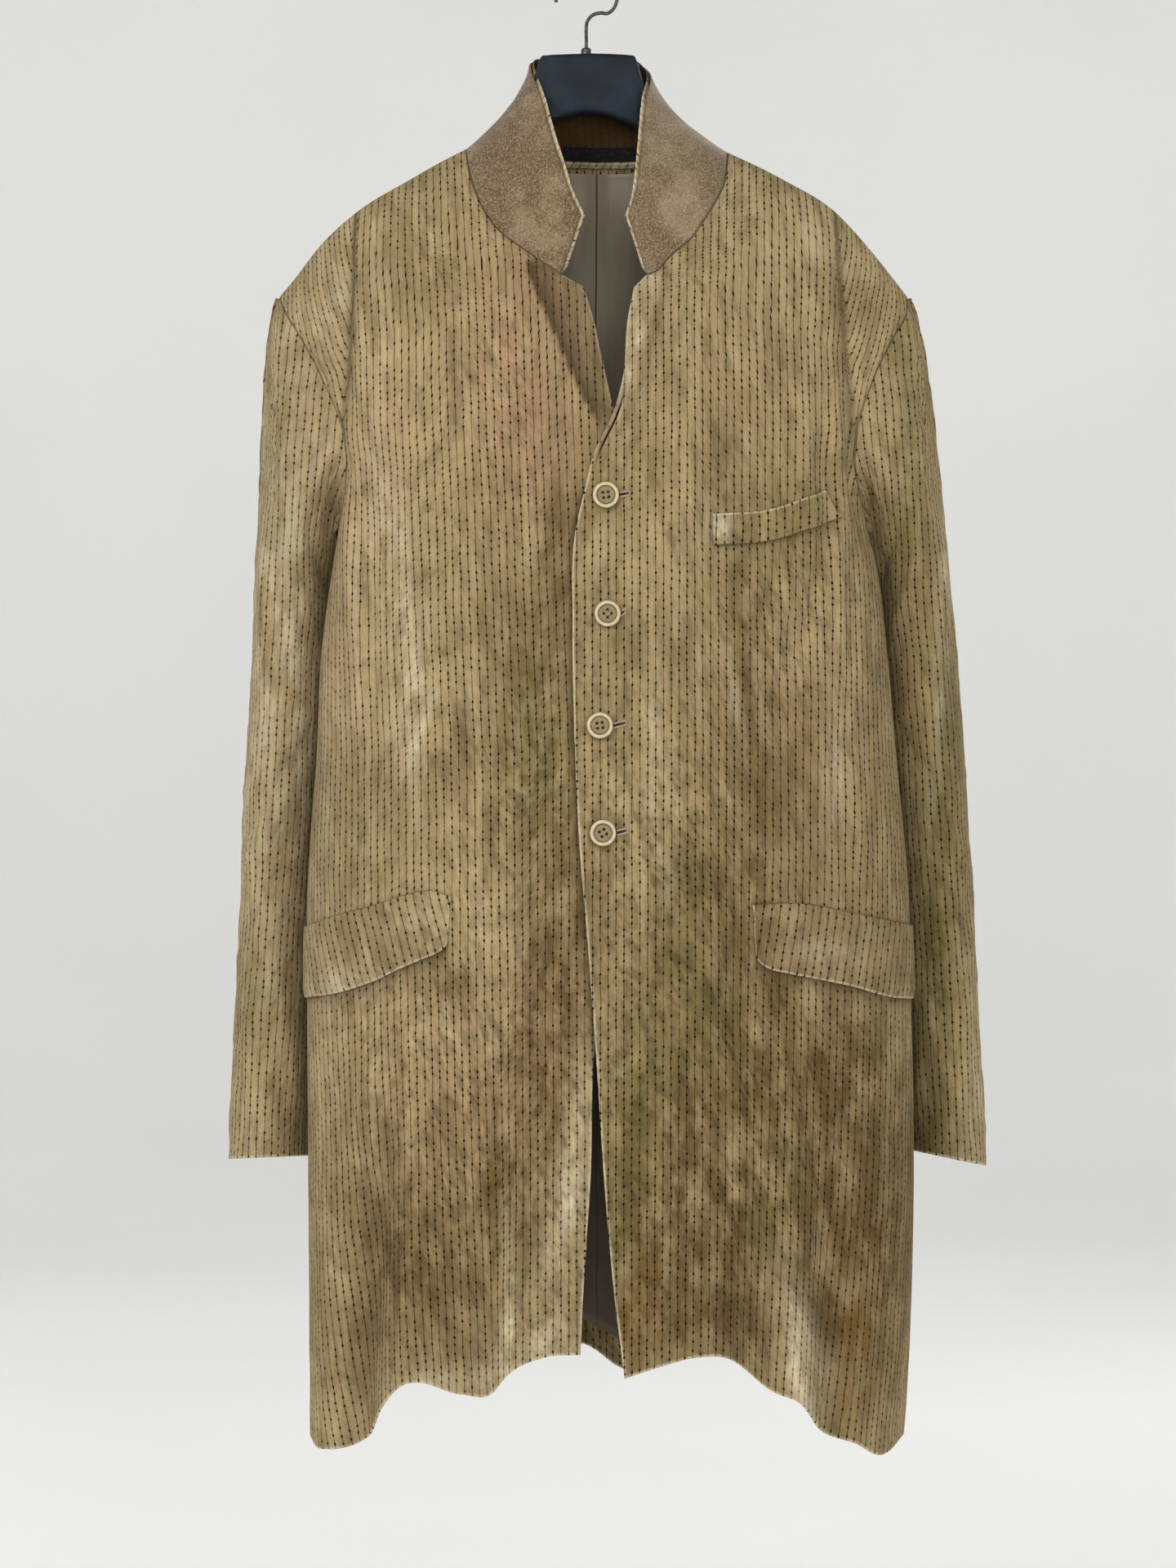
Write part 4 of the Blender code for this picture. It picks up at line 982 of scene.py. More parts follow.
def sleeve_surface(side, front, back):
    """A tube from the armhole to the cuff: a cap of cubic curves between the armhole and the first section,
    then turned ellipses; columns go round from the body's side by the front to the outside and the back."""
    rise = {k: front[k][front["rows"] >= UNDERARM_ROW, 0] for k in ("out", "in", "normal")}
    column = 0 if side == "right" else -1
    fall = {k: back[k][back["rows"] >= UNDERARM_ROW, column][::-1] for k in rise}
    ring = {}
    for key in rise:
        top, low = (rise[key][-1:] + fall[key][:1]) / 2, (rise[key][:1] + fall[key][-1:]) / 2
        ring[key] = np.concatenate([low, rise[key][1:-1], top, fall[key][1:-1]])
    sign = -1 if side == "right" else 1
    edge = ring["out"]
    closed = np.concatenate([edge[-1:], edge, edge[:1]])
    away = unit(np.cross(unit(ring["normal"]), np.gradient(closed, axis=0)[1:-1]))
    if ((edge.mean(axis=0) - edge) * away).sum() < 0:
        away = -away
    turn = np.clip(away[:, 2:3], 0, 1)
    straight = np.sqrt(1 - turn**2)
    start = edge * straight**2 + ring["in"] * turn**2 + (SEAM + UNDERARM_EASE * turn) * away
    heading = away * straight + ring["normal"] * turn
    along = lengths_along(closed[1:], 0)
    over = along[len(rise["out"]) - 1]
    around = np.where(along <= over, along / over, 1 + (along - over) / (along[-1] - over)) * math.pi
    around = around[:-1]
    levels = SLEEVE["z"][0] + (SLEEVE["z"][-1] - SLEEVE["z"][0]) * np.linspace(0, 1, TUBE_LINES)
    levels = np.unique(np.concatenate([levels, SLEEVE["z"][-1] + np.array(CLOSE_LINES)]))[::-1]
    tube = sleeve_sections(side, sign, levels, around)
    end, chord = tube[0], np.linalg.norm(tube[0] - start, axis=1, keepdims=True)
    first = heading * chord * (0.27 + 0.45 * turn)
    last = unit(tube[12] - tube[0]) * chord * 0.8
    s = np.linspace(0, 1, CAP_LINES + 1)[:-1, None, None]
    cap = cubic(start, end, first, last, s)
    points = np.concatenate([cap, tube])
    outside, plain, cap_points = len(rise["out"]) - 1, points, points[: CAP_LINES + 1]
    normals = grid_normals(points, points.mean(axis=1, keepdims=True), closed=True)
    run = lengths_along(points, 0)
    calm = fade(run / 30) * fade((run[-1:] - run) / 10 + 0.3)
    share = (around / math.tau)[None, :] + 0 * run
    ring_length = np.linalg.norm(np.diff(np.concatenate([points, points[:, :1]], axis=1), axis=1), axis=-1)
    across = np.concatenate([np.zeros((len(points), 1)), np.cumsum(ring_length, axis=1)], axis=1)
    moved = sleeve_creases(share, points[..., 2], across[:, -1:])
    x, z = across[:, :-1], points[..., 2]
    seed = SEED + (20 if side == "left" else 30)
    wrap = fade(share / 0.08) * fade((1 - share) / 0.08)
    moved += wrap * (0.8 * hills(x, 0.4 * z, 24, seed) + 0.6 * hills(x + 0.5 * z, z, 12, seed + 1))
    points = points + (moved * calm)[..., None] * normals
    normals = grid_normals(points, points.mean(axis=1, keepdims=True), closed=True)
    normals[0] = unit(ring["normal"] * straight - away * turn)
    points = seam_dipped(points, normals, [run])
    free = run[-1:] - run
    outer, inner = rounded_wall(points, normals, free, CLOTH)
    cloth = across - across[:, [outside]]
    cloth[:CAP_LINES] = cap_ways(cap_points, outside)[:CAP_LINES]
    wide = np.concatenate([plain, plain[:, :1]], axis=1)
    lifted = np.maximum(wide[..., 2] - SLEEVE["z"][0], 0)
    line = smooth_at(-wide[..., 2], -SLEEVE["z"], SLEEVE[f"{side}_x"])
    line = line - sign * CAP_LEAN * (lifted / 245) ** 2
    inward = sign * (line - wide[..., 0])
    for row in range(len(cloth)):
        from_outside = slice(outside, None, -1)
        kept = np.interp(SLEEVE_MIDDLE, inward[row, from_outside], cloth[row, from_outside])
        cloth[row] -= kept + SLEEVE_MIDDLE
    pairs = zip(inward, cloth)
    behind = [np.interp(SLEEVE_MIDDLE, a[outside:], b[outside:]) - SLEEVE_MIDDLE for a, b in pairs]
    seen = np.where(np.arange(wide.shape[1]) <= outside, -inward, inward + np.array(behind)[:, None])
    facing = np.abs(normals[..., 1]) / np.hypot(normals[..., 0], normals[..., 1])
    facing = fade((np.concatenate([facing, facing[:, :1]], axis=1) - 0.3) / 0.4)
    upper = fade((lifted - 10) / 110) * facing
    cloth = cloth * (1 - upper) + seen * upper
    uv = np.stack([cloth, np.concatenate([free, free[:, :1]], axis=1)], axis=-1)
    return {
        "out": outer,
        "in": inner,
        "normal": normals,
        "uv": uv,
        "free": free,
        "sewn": run,
        "cut": (across[:, -1].max(), run[-1].max(), points),
    }


def cap_ways(points, outside):
    """How far round each point of a sleeve's cap lies from its outside column, on a level cut through it."""
    ring = np.concatenate([points, points[:, :1]], axis=1)
    levels = np.linspace(ring[..., 2].min(), ring[..., 2].max(), 160)
    falling = np.minimum.accumulate(ring[..., 2], axis=0)[::-1]
    columns = range(ring.shape[1])
    cut = np.array([[np.interp(levels, falling[:, j], ring[::-1, j, k]) for k in (0, 1)] for j in columns])
    step = np.diff(cut, axis=0)
    way = np.concatenate([np.zeros((1, len(levels))), np.cumsum(np.hypot(step[:, 0], step[:, 1]), axis=0)])
    way -= way[outside]
    return np.stack([np.interp(ring[:, j, 2], levels, way[j]) for j in columns], axis=1)


def sleeve_creases(share, z, girth):
    """Soft bars across the sleeve, each at its own lean, fading along its length."""
    moved = np.zeros_like(share)
    for at, at_z, length, width, lean, out in zip(*SLEEVE_CREASES.values()):
        off = (share - at) * girth
        cosine, sine = math.cos(math.radians(lean)), math.sin(math.radians(lean))
        along = (z - at_z) * cosine + off * sine
        across = off * cosine - (z - at_z) * sine
        moved += SLEEVE_CREASE_DEPTH * out * np.exp(-((across / width) ** 2) - (2 * along / length) ** 4)
    return moved


def sleeve_sections(side, sign, levels, around):
    """Turned ellipses, one for each level, that slant at the cuff."""
    at = {k: smooth_at(-levels, -SLEEVE["z"], SLEEVE[k])[:, None] for k in SLEEVE}
    turn = np.radians(at["turn"])
    reach = np.hypot(at["broad"] * np.cos(turn), at["long"] * np.sin(turn))
    across = -np.cos(around) * at["broad"]
    forward = np.sin(around) * at["long"]
    outward = across * np.cos(turn) + forward * np.sin(turn)
    x = at[f"{side}_x"] - sign * reach + sign * outward
    y = at[f"{side}_y"] + across * np.sin(turn) - forward * np.cos(turn)
    near_cuff = np.clip(1 - (levels - levels[-1]) / CUFF_SLANT_REACH, 0, 1)[:, None]
    z = levels[:, None] - CUFF_SLANT[side] * near_cuff * outward
    return np.stack([x, y, z], axis=-1)


def collar_surfaces(front_right, back, front_left):
    """Undercollar and top collar: lines from the neck seam to the collar's edge, curved in between."""
    notch = front_right["rows"] >= NOTCH_ROW
    on_neck = (back["columns"] >= NECK_FROM) & (back["columns"] <= NECK_TO)
    seam = {}
    for key in ("out", "normal"):
        rise, fall = front_right[key][notch, -1], front_left[key][notch, -1][::-1]
        across = back[key][-1, on_neck]
        right, left = (rise[-1:] + across[:1]) / 2, (fall[:1] + across[-1:]) / 2
        seam[key] = np.concatenate([rise[:-1], right, across[1:-1], left, fall[1:]])
    foot, seam_normal = seam["out"], unit(seam["normal"])
    along = lengths_along(foot, 0)
    share = along / along[-1]
    edge = np.stack([smooth_at(share, COLLAR_EDGE["share"], COLLAR_EDGE[k]) for k in "xyz"], axis=1)
    away = unit(np.cross(seam_normal, np.gradient(foot, axis=0)))
    away *= np.sign((away * (edge - foot)).sum(axis=1, keepdims=True))
    up = close_lines(np.linspace(0, 1, 34), 60.0, False, True)[:, None, None]
    points = (foot + COLLAR_SEAM * away) * (1 - up) + edge * up
    inside = np.array([MIDDLE_X, -10.0, 0.0]) - points
    inside[..., 2] = 0
    around = np.sin(np.pi * share)[None, :, None]
    points = points + COLLAR_HOLLOW * 4 * up * (1 - up) * around**2 * unit(inside)
    centre = points * np.array([0, 0, 1]) + np.array([MIDDLE_X, -15.0, 0])
    normals = grid_normals(points, centre)
    rise, run = lengths_along(points, 0), lengths_along(points, 1)
    wave = 0.7 * hills(run, rise, 22, SEED + 40) + 0.4 * hills(run, rise, 9, SEED + 41)
    points = points + (wave * up[..., 0] * around[..., 0])[..., None] * normals
    normals = grid_normals(points, centre)
    normals[0] = seam_normal
    from_end = np.minimum(run, run[:, -1:] - run)
    from_edge = rise[-1:] - rise
    free = np.minimum(from_edge, from_end)
    under = rounded_wall(points, normals, free, FELT)
    uv = np.stack([run - run[:, -1:] / 2, rise], axis=-1)
    under = surface(*under, normals, uv[..., 0], rise, free, rise, None, cut_of(run, rise, points))
    growing = np.clip((up - 0.8) / 0.2, 0, 1)
    climb = unit(points[-1] - points[-4])
    longer = points + EDGE_SHOWN * growing * climb
    sideways = unit(longer[:, 0] - longer[:, 4])[:, None], unit(longer[:, -1] - longer[:, -5])[:, None]
    near_ends = np.clip(1 - run / 12, 0, 1)[..., None], np.clip(1 - (run[:, -1:] - run) / 12, 0, 1)[..., None]
    for direction, near in zip(sideways, near_ends):
        longer = longer + EDGE_SHOWN * near * direction * np.clip(up / 0.15, 0, 1)
    behind = longer - (FELT + SEAM + COLLAR_EASE * up) * normals
    top = rounded_wall(behind, normals, free, TOP_COLLAR)
    top = surface(*top, normals, uv[..., 0], rise, free, rise, None, cut_of(run, rise, points))
    return under, top


def on_panel(surface_of, column, row, key="out"):
    """A panel's array at broken column and row numbers, between its grid points."""
    values = surface_of[key]
    i = np.clip(np.floor(row).astype(int), 0, values.shape[0] - 2)
    j = np.clip(np.floor(column).astype(int), 0, values.shape[1] - 2)
    a, b = np.asarray(row - i), np.asarray(column - j)
    if values.ndim == 3:
        a, b = a[..., None], b[..., None]
    low = values[i, j] * (1 - b) + values[i, j + 1] * b
    high = values[i + 1, j] * (1 - b) + values[i + 1, j + 1] * b
    return low * (1 - a) + high * a


def column_at(panel, x, z):
    """The broken column number of a panel at x, on the row nearest to z."""
    row = np.abs(panel["out"][..., 2].mean(axis=1) - z).argmin()
    line = panel["out"][row, :, 0]
    order = np.argsort(line)
    return float(np.interp(x, line[order], order.astype(float)))


def row_at(panel, columns, height):
    """The broken row number at which each column's line crosses a height, given as a function of x."""
    rows = np.arange(panel["out"].shape[0], dtype=float)[:, None]
    line = on_panel(panel, columns[None] + 0 * rows, rows + 0 * columns[None])
    above = line[..., 2] - height(line[..., 0])
    first = np.clip((above > 0).argmax(axis=0), 1, None)
    spots = np.arange(len(columns))
    low, high = above[first - 1, spots], above[first, spots]
    return first - 1 - low / (high - low)


def applied_surface(panel, shape, first_column, seed, corner, lean):
    """A flap or welt on a panel between two drawn lines: the panel's points moved out, with soft edges,
    round lower corners and a swell. A flap hangs from its top; a welt is sewn at its ends and below."""
    middle = (shape["top"].mean() + shape["bottom"].mean()) / 2
    ends = sorted(column_at(panel, x, middle) for x in (shape["x"][0], shape["x"][-1]))
    if first_column is not None:
        ends[0] = first_column
    width = abs(shape["x"][-1] - shape["x"][0])
    shares = close_lines(np.linspace(0, 1, 46), width, True, True)
    columns = ends[0] + (ends[1] - ends[0]) * shares
    from_end = np.minimum(shares, 1 - shares) * width
    cut_off = corner - np.sqrt(np.maximum(corner**2 - np.maximum(corner - from_end, 0) ** 2, 0))
    top = row_at(panel, columns, lambda x: smooth_at(x, shape["x"], shape["top"]))
    low = row_at(panel, columns, lambda x: smooth_at(x, shape["x"], shape["bottom"]))
    per_row = 39.6 / LOWER_LINES if middle < UNDERARM_Z else 14.0 / UPPER_LINES * 1.2
    low = low + cut_off / per_row
    up = close_lines(np.linspace(0, 1, 22), 50.0, True, True)[:, None]
    row = low * (1 - up) + top * up
    column = columns[None] + 0 * row
    normals = unit(on_panel(panel, column, row, "normal"))
    points = on_panel(panel, column, row)
    run, rise = lengths_along(points, 1), lengths_along(points, 0)
    ends = np.minimum(run, run[:, -1:] - run)
    sewn = rise[-1:] - rise
    free = np.minimum(ends, rise)
    if first_column is None:
        free, sewn = sewn, np.minimum(ends, rise)
    swell = 0.9 * fade(free / 9) * fade(sewn / 6) + 0.5 * hills(run, rise, 15, seed) * fade(sewn / 8)
    points = points + (LIFTED + FLAP_CLOTH * 0.9 + swell)[..., None] * normals
    outer, inner = rounded_wall(points, normals, np.minimum(free, sewn), FLAP_CLOTH * 0.9)
    cosine, sine = math.cos(math.radians(lean)), math.sin(math.radians(lean))
    flat_u = on_panel({"uv": panel["uv"][..., 0]}, column, row, "uv") * 0.93
    across, along = flat_u * cosine + points[..., 2] * sine, points[..., 2] * cosine - flat_u * sine
    cut = cut_of(run, rise, points)
    return surface(outer, inner, normals, across + 1.7, along + 3.1, free, sewn, None, cut)


def lining_surface(back):
    """The back's lining: the back's inner face moved in, seated at the neck, with soft pleats of its own."""
    count = len(back["rows"])
    wanted_rows = np.concatenate([np.linspace(0.6, 28, 120), np.linspace(28, 29.4, 12)[1:]])
    row = np.interp(wanted_rows, back["rows"], np.arange(count))[:, None]
    column = np.interp(np.linspace(3, 15, 90), back["columns"], np.arange(len(back["columns"])))[None]
    row, column = row + 0 * column, column + 0 * row
    base = {"in": back["in"], "normal": back["normal"]}
    points, normals = on_panel(base, column, row, "in"), unit(on_panel(base, column, row, "normal"))
    x = points[..., 0]
    at_neck = fade((wanted_rows[:, None] - 27.4) / 2) * fade((75 - np.abs(x - MIDDLE_X)) / 18)
    ease = LINING_EASE + (SEAM + 0.05 - LINING_EASE) * at_neck
    run, rise = lengths_along(points, 1), lengths_along(points, 0)
    middle = run - middle_way(points, run)
    pleats = 0.8 * hills(run, 0.15 * rise, 30, SEED + 50) + 0.35 * hills(run, 0.5 * rise, 11, SEED + 51)
    ease = ease + (1 - at_neck) * (0.8 + pleats * fade(rise / 20))
    ease = ease - 0.5 * np.exp(-((middle / 1.6) ** 2)) * (1 - at_neck)
    points = points - ease[..., None] * normals
    free = np.minimum(np.minimum(run, run[:, -1:] - run), rise)
    outer, inner = rounded_wall(points, normals, free, LINING)
    return surface(outer, inner, normals, middle, rise, free, free, None, cut_of(run, rise, points))


def tape_surface(top_collar, low_up, high_up, low_share, high_share, lift, thickness):
    """A tape on the inner side of the top collar: its points moved in towards the neck."""
    inner = top_collar["in"]
    count = inner.shape[1] - 1
    column = np.linspace(low_share, high_share, 60)[None] * count
    row = np.linspace(low_up, high_up, 10)[:, None] * (inner.shape[0] - 1)
    row, column = row + 0 * column, column + 0 * row
    normals = -unit(on_panel(top_collar, column, row, "normal"))
    points = on_panel(top_collar, column, row, "in") + (lift + thickness) * normals
    run, rise = lengths_along(points, 1), lengths_along(points, 0)
    free = np.minimum(np.minimum(run, run[:, -1:] - run), np.minimum(rise, rise[-1:] - rise))
    outer, inside = rounded_wall(points, normals, free, thickness)
    return surface(outer, inside, normals, run, rise, free, free, None, cut_of(run, rise, points))


def true_place(points):
    """Points in front of the hanger's plane are drawn in towards the line of sight, those behind it out."""
    grow = (VIEW_DISTANCE + points[..., 1]) / VIEW_DISTANCE
    x = VIEW_X + (points[..., 0] - VIEW_X) * grow
    z = VIEW_Z + (points[..., 2] - VIEW_Z) * grow
    return np.stack([x, points[..., 1], z], axis=-1)


def squares(grid):
    """The four corners of every square of a grid of numbers."""
    return np.stack([grid[:-1, :-1], grid[:-1, 1:], grid[1:, 1:], grid[1:, :-1]], axis=-1).reshape(-1, 4)


def mesh_from(name, points, faces, uv=None, corners=None, marks=None):
    """A mesh object of four-cornered faces, with its UV map in metres and its marks as point attributes."""
    mesh = bpy.data.meshes.new(name)
    mesh.vertices.add(len(points))
    mesh.vertices.foreach_set("co", np.ascontiguousarray(points, np.float32).ravel())
    mesh.loops.add(faces.size)
    mesh.loops.foreach_set("vertex_index", faces.astype(np.int32).ravel())
    mesh.polygons.add(len(faces))
    mesh.polygons.foreach_set("loop_start", np.arange(0, faces.size, 4, dtype=np.int32))
    mesh.update(calc_edges=True)
    if uv is not None:
        layer = mesh.uv_layers.new(name="cloth")
        layer.data.foreach_set("uv", np.ascontiguousarray(uv[corners.ravel()] * MM, np.float32).ravel())
    for mark, values in (marks or {}).items():
        attribute = mesh.attributes.new(mark, "FLOAT", "POINT")
        attribute.data.foreach_set("value", np.ascontiguousarray(values, np.float32).ravel())
    mesh.shade_smooth()
    mesh.validate()
    thing = bpy.data.objects.new(name, mesh)
    bpy.context.scene.collection.objects.link(thing)
    return thing


def cloth_object(name, made, marks, material, closed=False):
    """A closed wall between the outer and inner grids of a surface, turned so that its faces point out."""
    outer, inner = made["out"], made["in"]
    rows, columns = outer.shape[:2]
    count = rows * columns
    number = np.arange(count).reshape(rows, columns)
    place = np.arange(rows * made["uv"].shape[1]).reshape(rows, -1)
    if closed:
        number = np.concatenate([number, number[:, :1]], axis=1)
    faces = [squares(number), squares(number)[:, ::-1] + count]
    corners = [squares(place), squares(place)[:, ::-1]]
    rims = [(g[0], g[-1][::-1]) + (() if closed else (g[::-1, 0], g[:, -1])) for g in (number, place)]
    for line, spot in zip(*rims):
        faces.append(np.stack([line[1:], line[:-1], line[:-1] + count, line[1:] + count], axis=1))
        corners.append(np.stack([spot[1:], spot[:-1], spot[:-1], spot[1:]], axis=1))
    faces, corners = np.concatenate(faces), np.concatenate(corners)
    middle = squares(number)[len(squares(number)) // 2]
    flat = outer.reshape(-1, 3)
    facing = np.cross(flat[middle[1]] - flat[middle[0]], flat[middle[3]] - flat[middle[0]])
    if (facing * (flat[middle[0]] - inner.reshape(-1, 3)[middle[0]])).sum() < 0:
        faces, corners = faces[:, ::-1], corners[:, ::-1]
    points = np.concatenate([flat, inner.reshape(-1, 3)])
    seen = {"free": made["free"], "sewn": made["sewn"], **marks}
    doubled = {k: np.concatenate([v.ravel(), v.ravel()]) for k, v in seen.items()}
    thing = mesh_from(
        name, true_place(points) * MM, faces, made["uv"].reshape(-1, 2), corners, doubled
    )
    thing.data.materials.append(material)
    return thing


def declare(thing, made, node):
    """A cloth piece rides on the coat, stands for its solid, and states its cut by its grid's lengths."""
    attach(thing, "root")
    if node:
        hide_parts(node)
    width, length, points = made["cut"]
    sides = np.cross(points[1:, :-1] - points[:-1, :-1], points[:-1, 1:] - points[:-1, :-1])
    area = np.linalg.norm(sides, axis=-1).sum() * MM * MM
    flat = (round(width * MM, 3), max(round(length * MM, 3), LEAST_CUT))
    area = min(area, flat[0] * flat[1])
    area = round(max(area, 0.3 * flat[0] * flat[1] * 1.01), 5)


class Socket:
    """One socket of a material's nodes; sums and products of sockets add Math nodes."""

    def __init__(self, graph, socket):
        self.graph, self.socket = graph, socket

    def math(self, operation, *others):
        values = dict(enumerate((self, *others)))
        return self.graph.node("ShaderNodeMath", {"operation": operation}, values)

    def __add__(self, other):
        return self.math("ADD", other)

    def __mul__(self, other):
        return self.math("MULTIPLY", other)

    def __sub__(self, other):
        return self.math("SUBTRACT", other)

    def __truediv__(self, other):
        return self.math("DIVIDE", other)

    def __rsub__(self, other):
        return self.math("MULTIPLY", -1.0) + other

    __radd__, __rmul__ = __add__, __mul__

    def floor(self):
        return self.math("FLOOR")

    def size(self):
        return self.math("ABSOLUTE")

    def least(self, other):
        return self.math("MINIMUM", other)

    def most(self, other):
        return self.math("MAXIMUM", other)

    def step(self, low, high, to_low=0.0, to_high=1.0):
        """A smooth change from one value below low to another above high."""
        values = {"Value": self, "From Min": low, "From Max": high, "To Min": to_low, "To Max": to_high}
        return self.graph.node("ShaderNodeMapRange", {"interpolation_type": "SMOOTHSTEP"}, values)


class Graph:
    """A new material's nodes, ending in a Principled shader."""

    def __init__(self, name):
        self.material = bpy.data.materials.new(name)
        self.material.use_nodes = True
        self.tree = self.material.node_tree
        self.shader = self.tree.nodes["Principled BSDF"]

    def node(self, kind, settings, values, output=0):
        """Makes a node: its settings first, then its sockets' values or links; returns one of its outputs."""
        made = self.tree.nodes.new(kind)
        for setting, value in settings.items():
            setattr(made, setting, value)
        for name, value in values.items():
            self.feed(made.inputs[name], value)
        return Socket(self, made.outputs[output])

    def feed(self, target, value):
        if isinstance(value, Socket):
            self.tree.links.new(value.socket, target)
        elif hasattr(value, "__len__") and len(value) == 3 and target.type == "RGBA":
            target.default_value = (*value, 1.0)
        else:
            target.default_value = value

    def finish(self, **values):
        for name, value in values.items():
            self.feed(self.shader.inputs[name.replace("_", " ").title().replace("Ior", "IOR")], value)
        return self.material

    def coordinates(self):
        return self.node("ShaderNodeTexCoord", {}, {}, "Object")

    def cloth_map(self):
        """Across and along the cloth, in millimetres."""
        uv = self.node("ShaderNodeUVMap", {"uv_map": "cloth"}, {})
        split = self.tree.nodes.new("ShaderNodeSeparateXYZ")
        self.feed(split.inputs[0], uv)
        return Socket(self, split.outputs[0]) * 1000, Socket(self, split.outputs[1]) * 1000

    def mark(self, name):
        return self.node("ShaderNodeAttribute", {"attribute_name": name}, {}, "Fac")

    def vector(self, x, y, z=0.0):
        return self.node("ShaderNodeCombineXYZ", {}, {0: x, 1: y, 2: z})

    def noise(self, vector, scale, detail=2.0, roughness=0.5):
        values = {"Vector": vector, "Scale": scale, "Detail": detail, "Roughness": roughness}
        return self.node("ShaderNodeTexNoise", {}, values)

    def chance(self, x, y=0.0):
        """A random value from 0 to 1 for each pair of whole numbers."""
        return self.node("ShaderNodeTexWhiteNoise", {"noise_dimensions": "2D"}, {"Vector": self.vector(x, y)})

    def blend(self, factor, a, b, way="MIX"):
        settings = {"data_type": "RGBA", "blend_type": way, "clamp_factor": True}
        return self.node("ShaderNodeMix", settings, {0: factor, 6: a, 7: b}, 2)

    def bump(self, height, distance, strength=1.0, normal=None):
        values = {"Height": height, "Distance": distance, "Strength": strength}
        if normal is not None:
            values["Normal"] = normal
        return self.node("ShaderNodeBump", {}, values)


def stripes(graph, u, v, spacing):
    """Fine dark lines along v that wander and fade in and out: masks for the lines, for their darker beads
    and for the cloth's rise between two lines."""
    drift = graph.noise(graph.vector(u * 0.02, v * 0.05), 1.0, 1.0)
    u = u + (drift - 0.5) * 1.6
    count = u / spacing
    number = count.floor()
    off = (count - number - 0.5).size() * spacing
    weight = graph.noise(graph.vector(number * 3.71, v * 0.035), 1.0, 2.0).step(0.32, 0.6, 0.6, 1.0)
    breaks = graph.noise(graph.vector(number * 5.13, v * 0.5), 1.0, 1.0).step(0.36, 0.5, 0.55, 1.0)
    line = off.step(0.2, 0.58, 1.0, 0.0) * weight * breaks
    way = v / 6.6 + graph.chance(number, 9.0) * 7
    bead = way.floor()
    along = (way - bead - 0.3 - graph.chance(number, bead) * 0.4).size() * 6.6
    shown = graph.chance(bead, number).step(0.12, 0.4)
    beads = along.step(0.7, 1.35, 1.0, 0.0) * off.step(0.55, 1.0, 1.0, 0.0) * shown
    return line, beads, (off / (spacing / 2)).least(1.0)


